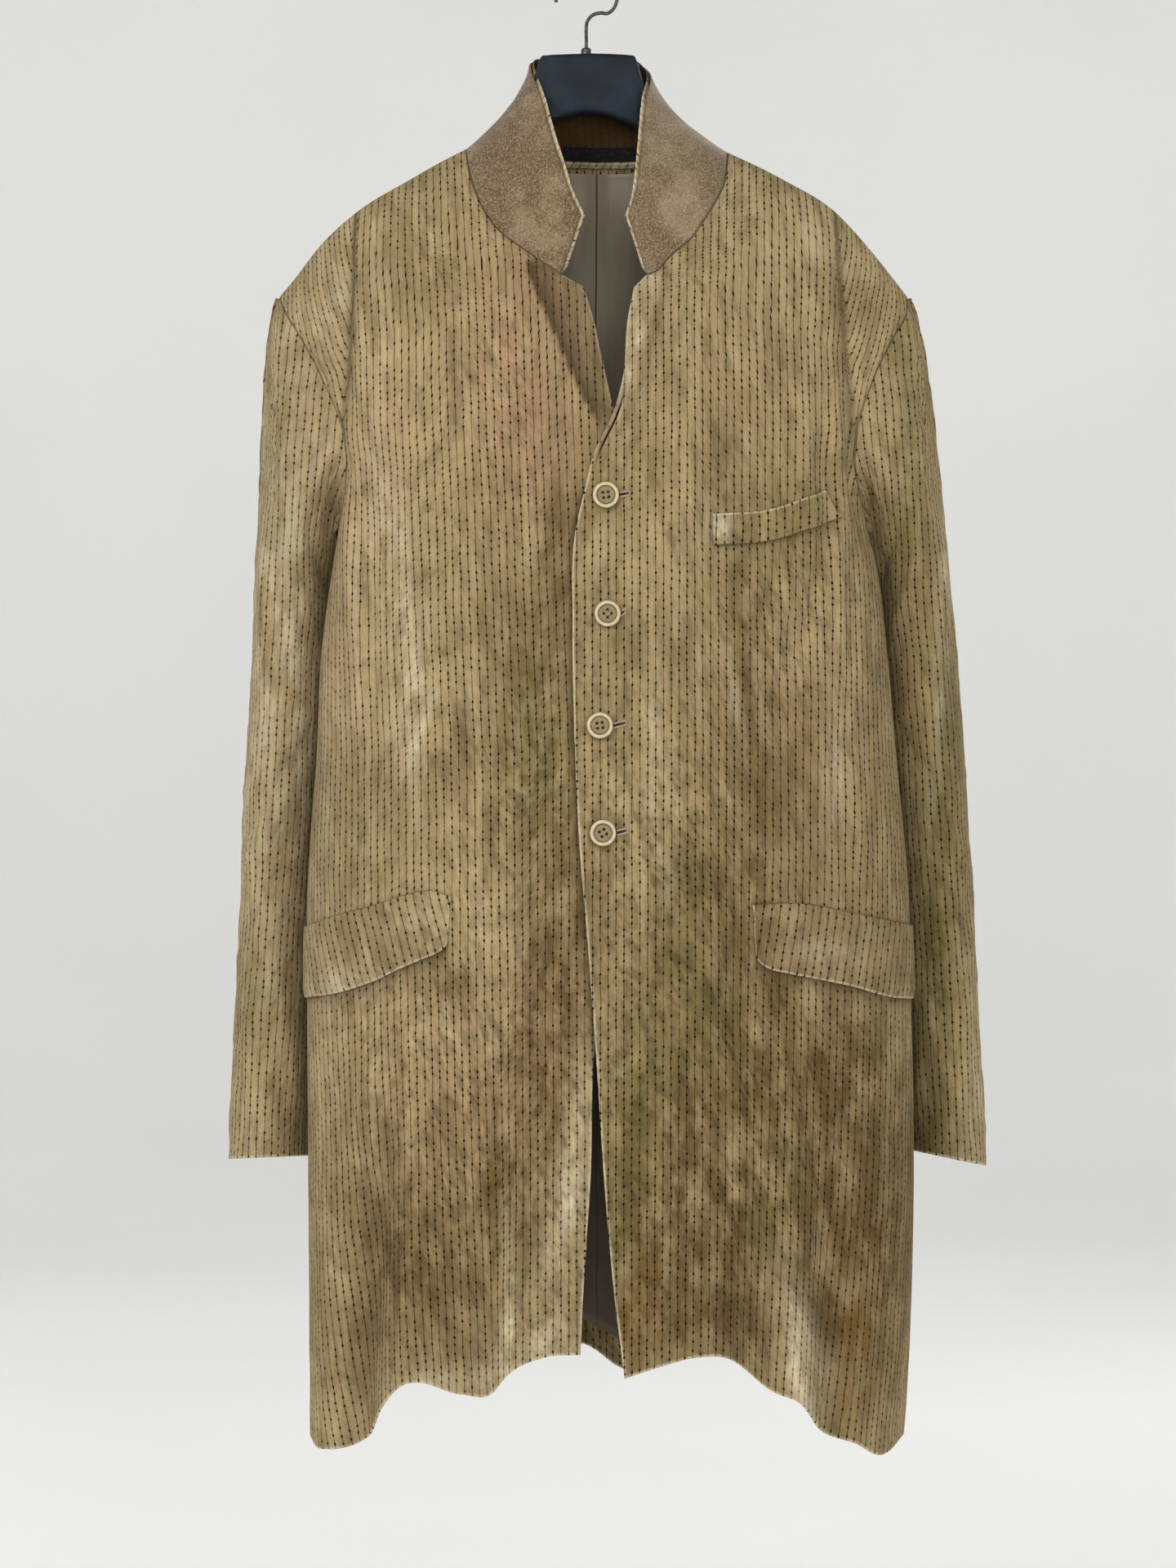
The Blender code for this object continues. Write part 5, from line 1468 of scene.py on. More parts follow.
def striped_cloth(look):
    """Straw cloth with beaded pinstripes, stained and faded by its marks, pale at worn edges, crumpled."""
    graph = Graph("pinstripe_cloth")
    u, v = graph.cloth_map()
    place = graph.coordinates()
    broad = graph.noise(place, 9.0, 3.0, 0.6)
    patchy = graph.noise(place, 42.0, 4.0, 0.65)
    streaky = graph.noise(graph.vector(u * 0.09, v * 0.012), 1.0, 4.0, 0.6)
    blotch = graph.noise(graph.vector(u * 0.085 + v * 0.008, v * 0.03), 1.0, 4.0, 0.62)
    fine = graph.noise(graph.vector(u * 0.8, v * 0.45), 1.0, 3.0, 0.6)
    crushed = graph.noise(graph.vector(u * 0.1 + v * 0.04, v * 0.05), 1.0, 2.0, 0.5)
    creased = 1 - (crushed - 0.5).size() * 3.2
    colour = graph.blend(broad.step(0.32, 0.68), look.straw_dark, look.straw)
    colour = graph.blend(streaky.step(0.42, 0.72) * 0.6, colour, look.straw_pale)
    streaked = graph.noise(graph.vector(u * 0.05, v * 0.02), 1.0, 4.0, 0.62)
    uneven = streaked.step(0.3, 0.68, 0.35, 1.15)
    # Stain colours; on the top collar's inner face the brown and gold marks paint shade instead
    for kind in ("pink", "brown", "olive", "gold"):
        colour = graph.blend(graph.mark(kind) * uneven, colour, getattr(look, kind))
    # The pale mark is partly real bleaching and partly painted light: the right sleeve's pale patch and the
    # left lapel's lit facet
    faded = graph.mark("pale") * streaked.step(0.36, 0.62, 0.15, 0.95)
    colour = graph.blend(faded, colour, look.faded)
    grime = blotch.step(0.5, 0.7) * broad.step(0.35, 0.6, 0.35, 0.8)
    colour = graph.blend(grime * 0.42, colour, look.grime)
    worn = graph.mark("free").step(0.5, 2.6, 0.75, 0.0) * fine.step(0.25, 0.6, 0.5, 1.0)
    colour = graph.blend(worn, colour, look.faded)
    rumpled = graph.mark("crumple")
    line, beads, rise = stripes(graph, u, v, look.stripe_spacing / MM)
    # The tone is partly painted light and shade: lighter on the crests of the crumples and darker between
    # them, most where crumple marks lie, and lighter on the rise between two stripes; the fine and blotch
    # noise add random tone
    tone = 0.88 + fine.step(0.25, 0.75) * 0.2 + rise * 0.07
    rumple = 1 + (creased.step(0.35, 1.0) - 0.5) * (rumpled * 0.34 + 0.14)
    tone = tone * rumple * blotch.step(0.3, 0.7, 1.13, 0.88)
    colour = graph.blend(1.0, colour, graph.vector(tone, tone, tone), "MULTIPLY")
    hidden = 1 - faded.least(1.0) * 0.45
    colour = graph.blend(line * 0.84 * hidden, colour, look.stripe)
    colour = graph.blend(beads * 0.97 * hidden, colour, look.bead)
    piping = graph.mark("piping").least(1.0) * graph.mark("free").step(4.2, 4.8, 1.0, 0.0)
    colour = graph.blend(piping * 0.6, colour, look.piping)
    # The dark furrow inside the left lapel's edge is painted shade, in the groove between the cloth and its
    # facing
    furrow = (graph.mark("free") - 4.2).size().step(0.6, 1.1, 1.0, 0.0) * graph.mark("piping").least(1.0)
    colour = graph.blend(furrow, colour, look.bead)
    seam = graph.mark("sewn").step(0.1, 1.4, 0.55, 0.0)
    stitched = (graph.mark("sewn") - 3.4).size().step(0.2, 0.7, 0.16, 0.0)
    colour = graph.blend(seam.most(stitched).most(graph.mark("shade") * 0.8), colour, look.seam_shade)
    weave = (u * 4.2).math("SINE") * (v * 4.6).math("SINE")
    height = creased * (rumpled * 0.75 + 0.25) + graph.noise(graph.vector(u * 0.3, v * 0.2), 1.0, 3.0) * 0.5
    normal = graph.bump(height, 0.0019)
    normal = graph.bump(weave * 0.2 + fine + beads * 0.6 + rise * 0.5, 0.00022, 1.0, normal)
    return graph.finish(
        base_color=colour,
        roughness=0.93 - patchy * 0.08,
        normal=normal,
        sheen_weight=0.03,
        sheen_roughness=0.5,
        specular_ior_level=0.05,
    )


def collar_felt(look):
    """Heather felt: pale and dark fibres in brown, in soft patches."""
    graph = Graph("collar_felt")
    place = graph.coordinates()
    fleck = graph.noise(place, 740.0, 4.0, 0.75)
    cloud = graph.noise(place, 48.0, 4.0, 0.6)
    stroke = graph.noise(place, 20.0, 2.0, 0.5)
    colour = graph.blend(cloud.step(0.4, 0.6), look.felt_dark, look.felt)
    colour = graph.blend(graph.mark("pale") * 0.4, colour, look.felt_pale)
    colour = graph.blend(stroke.step(0.45, 0.62) * 0.75, colour, look.felt_dark)
    colour = graph.blend(fleck.step(0.48, 0.62) * 0.66, colour, look.felt_pale)
    colour = graph.blend(fleck.step(0.34, 0.47, 1.0, 0.0) * 0.6, colour, look.felt_fleck)
    edge = graph.mark("free").step(0.3, 2.0, 0.4, 0.0) + graph.mark("sewn").step(0.2, 1.0, 0.4, 0.0)
    colour = graph.blend(edge, colour, look.seam_shade)
    normal = graph.bump(cloud, 0.0012)
    normal = graph.bump(fleck, 0.0005, 0.9, normal)
    return graph.finish(
        base_color=colour,
        roughness=0.96,
        normal=normal,
        sheen_weight=0.35,
        sheen_roughness=0.45,
        specular_ior_level=0.15,
    )


def lining_satin(look):
    """Grey-brown satin with fine cross threads, soft bands and a dark seam down its middle."""
    graph = Graph("lining_satin")
    u, v = graph.cloth_map()
    place = graph.coordinates()
    bands = graph.noise(graph.vector(u * 0.05, v * 0.006), 1.0, 3.0)
    cloud = graph.noise(place, 20.0, 3.0)
    colour = graph.blend(bands.step(0.3, 0.7), look.lining_dark, look.lining)
    colour = graph.blend(cloud.step(0.45, 0.75) * 0.3, colour, look.lining_pale)
    # Painted shade: the lining darkens towards the hem, deep inside the coat
    colour = graph.blend(graph.mark("low"), colour, look.lining_low)
    seam = u.size().step(0.35, 1.0, 0.85, 0.0)
    colour = graph.blend(seam, colour, look.lining_seam)
    threads = (v * 9.0).math("SINE") * 0.5 + graph.noise(graph.vector(u * 0.6, v * 3.0), 1.0, 2.0)
    normal = graph.bump(threads, 0.00006)
    normal = graph.bump(bands, 0.001, 0.8, normal)
    return graph.finish(
        base_color=colour,
        roughness=0.42 + cloud * 0.18,
        normal=normal,
        sheen_weight=0.2,
        specular_ior_level=0.35,
    )


def label_tape(look):
    """Black woven tape."""
    graph = Graph("label_tape")
    u, v = graph.cloth_map()
    rib = (u * 8.0).math("SINE") * 0.5 + (v * 14.0).math("SINE") * 0.5
    worn = graph.noise(graph.vector(u * 0.3, v * 0.5), 1.0, 3.0)
    colour = graph.blend(worn.step(0.45, 0.75), look.label, look.label_worn)
    return graph.finish(
        base_color=colour, roughness=0.7 + worn * 0.2, normal=graph.bump(rib, 0.00008), specular_ior_level=0.25
    )


def button_horn(look):
    """Cream rim over a tan dish, faintly ringed, dark in the holes."""
    graph = Graph("button_horn")
    dish, hole = graph.mark("dish"), graph.mark("hole")
    place = graph.coordinates()
    cloud = graph.noise(place, 260.0, 3.0)
    grooves = (graph.mark("radius") * 5.5).math("SINE") * 0.5 + 0.5
    colour = graph.blend(cloud.step(0.35, 0.7), look.rim, look.rim_pale)
    colour = graph.blend(dish, colour, look.dish)
    colour = graph.blend(grooves * dish * 0.25, colour, look.rim)
    colour = graph.blend(cloud.step(0.5, 0.8) * dish * 0.5, colour, look.dish_dark)
    # Painted shade: a dark ring where the dish's wall falls away from the rim
    ring = (graph.mark("radius") - 7.2).size().step(0.3, 1.0, 0.8, 0.0)
    colour = graph.blend(ring * graph.mark("dish").step(0.0, 0.1), colour, look.dish_dark)
    # Painted shade in the holes
    colour = graph.blend(hole.step(0.2, 0.6), colour, look.hole)
    return graph.finish(
        base_color=colour,
        roughness=0.32 + cloud * 0.25,
        normal=graph.bump(cloud + grooves * 0.3, 0.00012),
        specular_ior_level=0.3,
        coat_weight=dish * -0.05 + 0.06,
    )


def sewing_thread(name, colour, darker):
    """Twisted thread."""
    graph = Graph(name)
    u, v = graph.cloth_map()
    twist = (u * 9.0 + v * 9.0).math("SINE") * 0.5 + 0.5
    shade = graph.blend(twist, darker, colour)
    return graph.finish(base_color=shade, roughness=0.85, normal=graph.bump(twist, 0.0001), sheen_weight=0.15)


def hanger_plastic(look):
    """Dull blue-black plastic, finely grained, with a few faint scuffs."""
    graph = Graph("hanger_plastic")
    place = graph.coordinates()
    grain = graph.noise(place, 1500.0, 2.0)
    cloud = graph.noise(place, 26.0, 3.0)
    stretched = graph.node(
        "ShaderNodeMapping", {}, {"Vector": place, "Rotation": (0.0, 0.35, 0.0), "Scale": (40.0, 40.0, 420.0)}
    )
    scuff = graph.noise(stretched, 1.0, 4.0, 0.7).step(0.6, 0.7) * cloud.step(0.52, 0.62)
    colour = graph.blend(cloud.step(0.3, 0.7), look.plastic, look.plastic_pale)
    colour = graph.blend(scuff * 0.6, colour, look.scuff)
    normal = graph.bump(grain, 0.00012, 0.5)
    return graph.finish(
        base_color=colour, roughness=0.55 + cloud * 0.12 + scuff * 0.2, normal=normal, specular_ior_level=0.22
    )


def hook_wire(look):
    """Plated steel wire, lightly dulled."""
    graph = Graph("hook_wire")
    dull = graph.noise(graph.coordinates(), 300.0, 3.0)
    colour = graph.blend(dull.step(0.4, 0.7), look.wire, look.wire_dull)
    return graph.finish(
        base_color=colour, metallic=1.0, roughness=0.24 + dull * 0.2, normal=graph.bump(dull, 0.00008)
    )


def turned_grid(radii, heights, steps):
    """A profile carried round Z: x = r cos t, y = r sin t, z = height."""
    t = np.arange(steps) / steps * math.tau
    radii, heights = np.asarray(radii)[:, None], np.asarray(heights)[:, None]
    return np.stack([radii * np.cos(t), radii * np.sin(t), heights + 0 * t], axis=-1)


def tube_grid(path, radius, sides=10):
    """A circle carried along a path: its plane is square to the path, turned by a fixed side direction."""
    heading = unit(np.gradient(path, axis=0))
    side = np.cross(heading, np.array([0.0, 1.0, 0.0]))
    weak = np.linalg.norm(side, axis=1, keepdims=True) < 0.2
    side = unit(np.where(weak, np.cross(heading, np.array([1.0, 0.0, 0.0])), side))
    other = np.cross(heading, side)
    t = np.arange(sides) / sides * math.tau
    radius = np.broadcast_to(radius, len(path))[:, None, None]
    ring = side[:, None] * np.cos(t)[None, :, None] + other[:, None] * np.sin(t)[None, :, None]
    return path[:, None] + radius * ring


def tube_object(name, grids, material, marks=None):
    """Closed tubes or turned shapes as one mesh: sides from each grid, ends drawn in to a point each."""
    points, faces, corners, uv = [], [], [], []
    start = place_start = 0
    for grid in grids:
        ends = np.repeat(grid[[0, -1]].mean(axis=1)[:, None], grid.shape[1], axis=1)
        full = np.concatenate([ends[:1], grid, ends[1:]])
        rows, columns = full.shape[:2]
        number = np.arange(rows * columns).reshape(rows, columns)
        wrapped = np.concatenate([number, number[:, :1]], axis=1)
        place = np.arange(rows * (columns + 1)).reshape(rows, columns + 1)
        faces.append(squares(wrapped) + start)
        corners.append(squares(place) + place_start)
        run = lengths_along(full, 0).mean(axis=1)
        uv.append(np.stack(np.meshgrid(np.linspace(0, 3.0, columns + 1), run), axis=-1).reshape(-1, 2))
        points.append(full.reshape(-1, 3))
        start += rows * columns
        place_start += rows * (columns + 1)
    whole = {k: np.concatenate([v[:1], v, v[-1:]]).ravel() for k, v in (marks or {}).items()}
    points, faces, uv, corners = (np.concatenate(parts) for parts in (points, faces, uv, corners))
    thing = mesh_from(name, points * MM, faces, uv, corners, whole)
    mesh = bmesh.new()
    mesh.from_mesh(thing.data)
    bmesh.ops.remove_doubles(mesh, verts=mesh.verts, dist=1e-6)
    bmesh.ops.recalc_face_normals(mesh, faces=mesh.faces)
    mesh.to_mesh(thing.data)
    mesh.free()
    thing.data.shade_smooth()
    thing.data.materials.append(material)
    return thing


def seat_on(panel, x, z, lift):
    """A point above a panel, with the panel's own directions there: to the wearer's left, up and out."""
    column = np.array([column_at(panel, x, z)])
    row = row_at(panel, column, lambda at: z + 0 * at)
    normal = unit(on_panel(panel, column, row, "normal"))[0]
    right = np.cross(np.array([0.0, 0.0, 1.0]), normal)
    right = unit(right)
    return on_panel(panel, column, row)[0] + lift * normal, right, np.cross(normal, right), normal


def placed(local, seat):
    """Points drawn on a piece's own plane, put on its seat in the coat."""
    point, right, up, out = seat
    return true_place(point + local[..., :1] * right + local[..., 1:2] * up + local[..., 2:] * out)


def settings():
    return bpy.context.scene.coat_look


def button_grid(turn):
    """A turned button: flat back, round side, raised rim and dished face, whose height falls at four holes.
    Also its marks: how far it is inside the dish or a hole, and its distance from the middle."""
    profile = table(
        "radius height",
        (9.2, 0.05),
        (9.9, 0.5),
        (10.25, 1.4),
        (10.25, 2.3),
        (10.0, 3.0),
        (9.5, 3.45),
        (8.9, 3.6),
        (8.3, 3.55),
        (7.8, 3.25),
        (7.3, 2.7),
        (6.7, 2.35),
        (6.0, 2.2),
    )
    t = np.linspace(0, 1, len(profile["radius"]))
    fine = np.linspace(0, 1, 44)
    radii = np.concatenate([smooth_at(fine, t, profile["radius"]), np.linspace(6.0, 0.05, 46)[1:]])
    heights = np.concatenate([smooth_at(fine, t, profile["height"]), 2.2 - 0.25 * np.linspace(0, 1, 46)[1:]])
    grid = turned_grid(radii, heights, 88)
    hole = np.zeros(grid.shape[:2])
    for k in range(4):
        angle = turn + math.pi / 4 + k * math.pi / 2
        off = np.hypot(grid[..., 0] - 2.9 * math.cos(angle), grid[..., 1] - 2.9 * math.sin(angle))
        hole = np.maximum(hole, 1 - fade((off - 0.95) / 0.3))
    hole[:44] = 0
    grid[..., 2] -= 1.7 * hole
    radius = np.broadcast_to(radii[:, None], hole.shape)
    inner = np.arange(len(radii))[:, None] > 24
    return grid, {"hole": hole, "radius": radius, "dish": inner * (1 - fade((radius - 6.9) / 0.8))}


def make_fronts():
    material = cloth_material()
    for side in ("right", "left"):
        panel = front_surface(side)
        x, z = panel["out"][..., 0], panel["out"][..., 2]
        marks = marks_at(x, z)
        rolled = past_roll(x, z, side)
        rolls = fade((z + 390) / 50) * fade((-228 - z) / 8)
        if side == "right":
            beside = smooth_at(z, LEFT_EDGE["z"], LEFT_EDGE["x"]) - x
            under = 0.9 * np.exp(-((np.maximum(beside, 0) / 4.4) ** 2)) * fade((-400 - z) / 25)
            facet = 0.25 + 1.0 * np.exp(-np.maximum(rolled, 0) / 14)
            marks["shade"] = under + rolls * fade(rolled / 2 + 0.5) * facet
            marks["shade"] += 0.9 * below_edge(x, z, RIGHT_FLAP, 6.0)
            marks["piping"] = 0 * x
        else:
            # On the left front: painted shade just outside the lapel's roll line, and a painted highlight,
            # through the pale mark, on the facet past it, which faces the key light
            marks["shade"] = 0.4 * rolls * np.exp(-(((rolled + 3.5) / 4) ** 2))
            marks["pale"] = np.clip(marks["pale"] + 0.4 * rolls * fade(rolled / 4), 0, 1)
            marks["shade"] += 0.9 * below_edge(x, z, LEFT_FLAP, 6.0) + 0.5 * below_edge(x, z, CHEST_WELT, 4.0)
            side_edge = fade((-470 - z) / 40) * np.exp(-((panel["sewn"] / 5) ** 2))
            marks["pale"] = np.clip(marks["pale"] + 0.6 * side_edge, 0, 1)
            for button_x, button_z in zip(BUTTON_PLACES["x"], BUTTON_PLACES["z"]):
                off = np.hypot(x - button_x - 0.6, z - button_z + 1.2)
                marks["shade"] += 0.7 * np.exp(-((np.maximum(off - 9.5, 0) / 2.2) ** 2))
        folded = past_arm_fold(x, z, side)
        marks["shade"] += 0.45 * np.exp(-(((folded - 1) / 3.2) ** 2)) * fade((z + 392) / 40)
        marks["shade"] += 0.3 * np.clip(-fold_height(panel["out"], FRONT_FOLDS) / 9, 0, 1)
        marks["shade"] = np.clip(marks["shade"], 0, 1)
        thing = cloth_object(f"front_{side}_cloth", panel, marks, material)
        declare(thing, panel, f"front_{side}")


def cloth_material():
    return bpy.data.materials.get("pinstripe_cloth") or striped_cloth(settings())


def make_back():
    panel = back_surface()
    x, z = panel["out"][..., 0], panel["out"][..., 2]
    marks = marks_at(26 - 0.92 * x, 0.95 * z - 40)
    marks["shade"] = 0.3 * np.clip(-fold_height(panel["out"], BACK_FOLDS) / 9, 0, 1)
    thing = cloth_object("back_cloth", panel, marks, cloth_material())
    declare(thing, panel, "back")


def make_sleeves():
    back = back_surface()
    for side in ("right", "left"):
        made = sleeve_surface(side, front_surface(side), back)
        x, z = made["out"][..., 0], made["out"][..., 2]
        thing = cloth_object(f"sleeve_{side}_cloth", made, marks_at(x, z), cloth_material(), closed=True)
        declare(thing, made, f"sleeve_{side}")


def no_marks(shape, **given):
    """No stains, apart from those given."""
    marks = {kind: np.zeros(shape) for kind in (*STAINS, "shade")}
    for kind, value in given.items():
        marks[kind] = np.broadcast_to(value, shape)
    return marks


def make_collar():
    look = settings()
    under, top = collar_surfaces(front_surface("right"), back_surface(), front_surface("left"))
    left = fade((under["out"][..., 0] - MIDDLE_X) / 20)
    marks = no_marks(under["free"].shape, pale=0.8 * left)
    thing = cloth_object("undercollar_felt", under, marks, collar_felt(look))
    declare(thing, under, "undercollar")
    # The top collar's inner face, turned away inside the coat, gets painted shade: its gold, brown and shade
    # marks darken it; the part towards the front is paler
    behind = fade((top["out"][..., 1] + 30) / 40)
    marks = no_marks(top["free"].shape, gold=1.0 * behind, brown=0.5 * behind, pale=1.0 * (1 - behind))
    marks["shade"] = 1.13 * behind
    thing = cloth_object("top_collar_cloth", top, marks, cloth_material())
    declare(thing, top, "top_collar")
    tape = tape_surface(top, 0.02, 0.15, 0.43, 0.58, 0.4, 0.8)
    thing = cloth_object("label_tape_piece", tape, {}, label_tape(look))
    declare(thing, tape, "label")
    strip = tape_surface(top, -0.02, 0.03, 0.36, 0.64, 0.5, 0.9)
    low = 1 - fade((strip["uv"][..., 1] - 3.2) / 1.5)
    marks = no_marks(strip["free"].shape, pale=1.0, shade=0.5 * low)
    thing = cloth_object("neck_strip", strip, marks, cloth_material())
    declare(thing, strip, None)


def make_lining():
    made = lining_surface(back_surface())
    # Painted shade: the low mark darkens the lining towards the hem, deep inside the coat
    marks = {"low": fade((-640 - made["out"][..., 2]) / 240)}
    thing = cloth_object("back_lining_satin", made, marks, lining_satin(settings()))
    declare(thing, made, "back_lining")


def make_pockets():
    panels = {side: front_surface(side) for side in ("right", "left")}
    for name, side, shape, first, corner, lean in (
        ("flap_right", "right", RIGHT_FLAP, 4.0, 7.0, 13),
        ("flap_left", "left", LEFT_FLAP, 4.0, 9.0, -7),
        ("chest_welt", "left", CHEST_WELT, None, 1.0, 0),
    ):
        made = applied_surface(panels[side], shape, first, SEED + 60, corner, lean)
        marks = marks_at(made["out"][..., 0], made["out"][..., 2])
        marks["shade"] = np.full(made["free"].shape, 0.13 if name.startswith("flap") else 0.0)
        thing = cloth_object(f"{name}_cloth", made, marks, cloth_material())
        declare(thing, made, name)


def make_buttons():
    look = settings()
    panel = front_surface("left")
    horn = button_horn(look)
    dark = sewing_thread("dark_thread", look.hole, look.bead)
    light = sewing_thread("light_thread", look.thread, look.thread_dark)
    slit_shades, borders = [], []
    for k, (x, z, hole_x, hole_z) in enumerate(zip(*BUTTON_PLACES.values())):
        seat = seat_on(panel, x, z, 0.6)
        grid, marks = button_grid(math.radians(BUTTON_TURNS[k]))
        thing = tube_object(f"button_{k + 1}_horn", [placed(grid, seat)], horn, marks)
        ride_as(thing, f"button_{k + 1}")
        if k == KNOTTED:
            threads = [tube_grid(placed(path, seat), 0.4, 8) for path in knot_paths()]
            ride_as(tube_object(f"button_{k + 1}_knot", threads, light), None)
        ends = (x + HOLE_STARTS, z), (hole_x, hole_z)
        # Each slit is a dark tube of painted shade where the cut opens
        slit = seated_line(panel, *ends, 0.0, 0.3)
        tapered = np.interp(np.linspace(0, 1, len(slit)), [0, 0.2, 1], [1.25, 1.1, 0.4])
        slit_shades.append(tube_grid(slit, tapered, 8))
        for rise in (-1.7, 1.7):
            borders.append(tube_grid(seated_line(panel, *ends, rise, 0.3), 0.8, 8))
        bar = (hole_x + 0.4, hole_z - 2.2), (hole_x + 0.4, hole_z + 2.2)
        borders.append(tube_grid(seated_line(panel, *bar, 0, 0.3), 0.7, 8))
    ride_as(tube_object("buttonhole_slits", slit_shades, dark), None)
    ride_as(tube_object("buttonhole_stitches", borders, light), None)


def seated_line(panel, start, end, rise, lift):
    """Points along a straight line on a panel, moved up and out by a little."""
    shares = np.linspace(0, 1, 14)
    points = []
    for share in shares:
        x, z = (a + (b - a) * share for a, b in zip(start, end))
        points.append(seat_on(panel, x, z + rise, lift)[0])
    return true_place(np.array(points))


def knot_paths():
    """Two crossed arches from hole to hole, and a short loose end."""
    s = np.linspace(-1, 1, 17)[:, None]
    for turn in (0.0, math.pi / 2):
        flat = 2.15 * s * np.array([[math.cos(turn), math.sin(turn)]])
        yield np.concatenate([flat, 2.9 - 1.8 * np.abs(s) ** 3], axis=1)
    yield np.concatenate([0.9 + 1.4 * s, 0.5 * s * s - 0.6, 3.1 + 0 * s], axis=1)


def ride_as(thing, node):
    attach(thing, "root")
    if node:
        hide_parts(node)


def make_hanger():
    """Rounded sections along X: y = thick * |sin|^p, z = middle + tall * |cos|^q."""
    known = HANGER["x"]
    x = np.unique(np.concatenate([np.linspace(known[0], known[-1], 220), np.linspace(-40, 46, 60)]))
    slope = (ridge(x + 1) - ridge(x - 1)) / 2
    under_cloth = ridge(x) - (CLOTH + 0.9) * np.sqrt(1 + slope**2)
    top = np.interp(x, known, HANGER["top"])
    bottom = smooth_at(x, known, HANGER["bottom"])
    in_shoulder = (x <= RIGHT_NECK_X) | (x >= LEFT_NECK_X)
    top = np.where(in_shoulder, np.minimum(top, under_cloth), top)
    thick = np.interp(x, known, HANGER["thick"])
    around = np.arange(56) / 56 * math.tau
    block = (fade((x + 50) / 16) * fade((58 - x) / 16))[:, None]
    sine, cosine = np.sin(around)[None], np.cos(around)[None]
    across = np.sign(sine) * np.abs(sine) ** (1.0 - 0.65 * block)
    upward = np.sign(cosine) * np.abs(cosine) ** (0.8 - 0.55 * block)
    y = thick[:, None] * across
    z = ((top + bottom) / 2)[:, None] + ((top - bottom) / 2)[:, None] * upward
    grid = np.stack([x[:, None] + 0 * y, y, z], axis=-1)
    look = settings()
    thing = tube_object("hanger_block", [grid], hanger_plastic(look))
    ride_as(thing, "hanger")
    wire = hook_wire(look)
    thing = tube_object("hook_bent_wire", [tube_grid(hook_path(), 1.4, 16)], wire)
    ride_as(thing, "hook")
    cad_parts["hook_ferrule"].data.materials[0] = wire


def hook_path():
    """Up the stem, out through an S-bend, and round the arc that lies over the rail."""
    centre_z = 1.4 - 24.5
    stem = [(0.0, -84.0), (0.0, -72.0), (0.0, -60.0), (0.0, -49.0)]
    bend = [(1.2, -44.2), (5.2, -40.0), (11.0, -38.4), (17.0, -38.6)]
    arc = [(24.5 * math.cos(a), centre_z + 24.5 * math.sin(a)) for a in np.radians(np.linspace(-27, 196, 14))]
    route = np.array(stem + bend + arc)
    known = np.arange(len(route), dtype=float)
    fine = np.linspace(0, known[-1], 160)
    x, z = (smooth_at(fine, known, route[:, k]) for k in (0, 1))
    return np.stack([x, 0 * x, z], axis=1)


def make_stage():
    """A pale bowl: a disc of floor whose rim curves up into a wall that goes all round."""
    bend = np.linspace(0, math.pi / 2, 24)[1:]
    r = np.concatenate([np.linspace(0.0005, 5, 30), 5 + 2 * np.sin(bend), [7.0]])
    z = np.concatenate([np.zeros(30), 2 - 2 * np.cos(bend), [9.0]])
    grid = turned_grid(r, z - 1.5, 96)
    number = np.arange(grid.shape[0] * 96).reshape(-1, 96)
    number = np.concatenate([number, number[:, :1]], axis=1)
    bowl = mesh_from("studio_floor", grid.reshape(-1, 3), squares(number)[:, ::-1])
    graph = Graph("studio_paper")
    cloud = graph.noise(graph.coordinates(), 1.2, 2.0)
    colour = graph.blend(cloud, settings().paper, settings().paper_pale)
    bowl.data.materials.append(graph.finish(
            base_color=colour,
            roughness=0.9,
            specular_ior_level=0.1,
            emission_color=colour,
            emission_strength=0.32,
        ))
    for name, place, size, energy, tint in (
        ("key", (-1.7, -2.2, 1.0), 1.1, 35, (1.0, 0.98, 0.94)),
        ("fill", (2.2, -2.2, -0.4), 1.8, 11, (0.96, 0.98, 1.0)),
        ("front", (0.15, -2.7, -0.1), 1.0, 16, (1.0, 0.99, 0.97)),
        ("back_left", (1.9, 2.4, 0.9), 1.2, 26, (1.0, 0.99, 0.97)),
        ("back_right", (-2.4, 2.0, 0.2), 1.6, 12, (0.97, 0.98, 1.0)),
    ):
        light = bpy.data.lights.new(name, "AREA")
        light.size = size
        light.energy = energy
        light.color = tint
        lamp = bpy.data.objects.new(name, light)
        lamp.location = place
        towards = np.array([0.0, 0.0, -0.6]) - np.array(place)
        yaw, pitch = math.atan2(towards[1], towards[0]), math.atan2(towards[2], math.hypot(*towards[:2]))
        lamp.rotation_euler = (pitch + math.pi / 2, 0, yaw - math.pi / 2)
        bpy.context.scene.collection.objects.link(lamp)
    world = bpy.data.worlds.new("soft_daylight")
    world.use_nodes = True
    world.node_tree.nodes["Background"].inputs[0].default_value = (0.9, 0.93, 1.0, 1)
    world.node_tree.nodes["Background"].inputs[1].default_value = 0.2
    bpy.context.scene.world = world
    camera = bpy.data.cameras.new("camera")
    camera.sensor_width = SENSOR
    camera.lens = SENSOR * VIEW_DISTANCE / (FRAME_HEIGHT * MM_PER_PIXEL)
    seer = bpy.data.objects.new("camera", camera)
    seer.location = (VIEW_X * MM, -VIEW_DISTANCE * MM, VIEW_Z * MM)
    seer.rotation_euler = (math.pi / 2, 0, 0)
    bpy.context.scene.collection.objects.link(seer)
    bpy.context.scene.camera = seer
    bpy.context.scene.view_settings.view_transform = "Standard"


def colour_property(name, description, *rgb):
    return bpy.props.FloatVectorProperty(
        name=name, description=description, subtype="COLOR", size=3, min=0, max=1, default=linear(*rgb)
    )


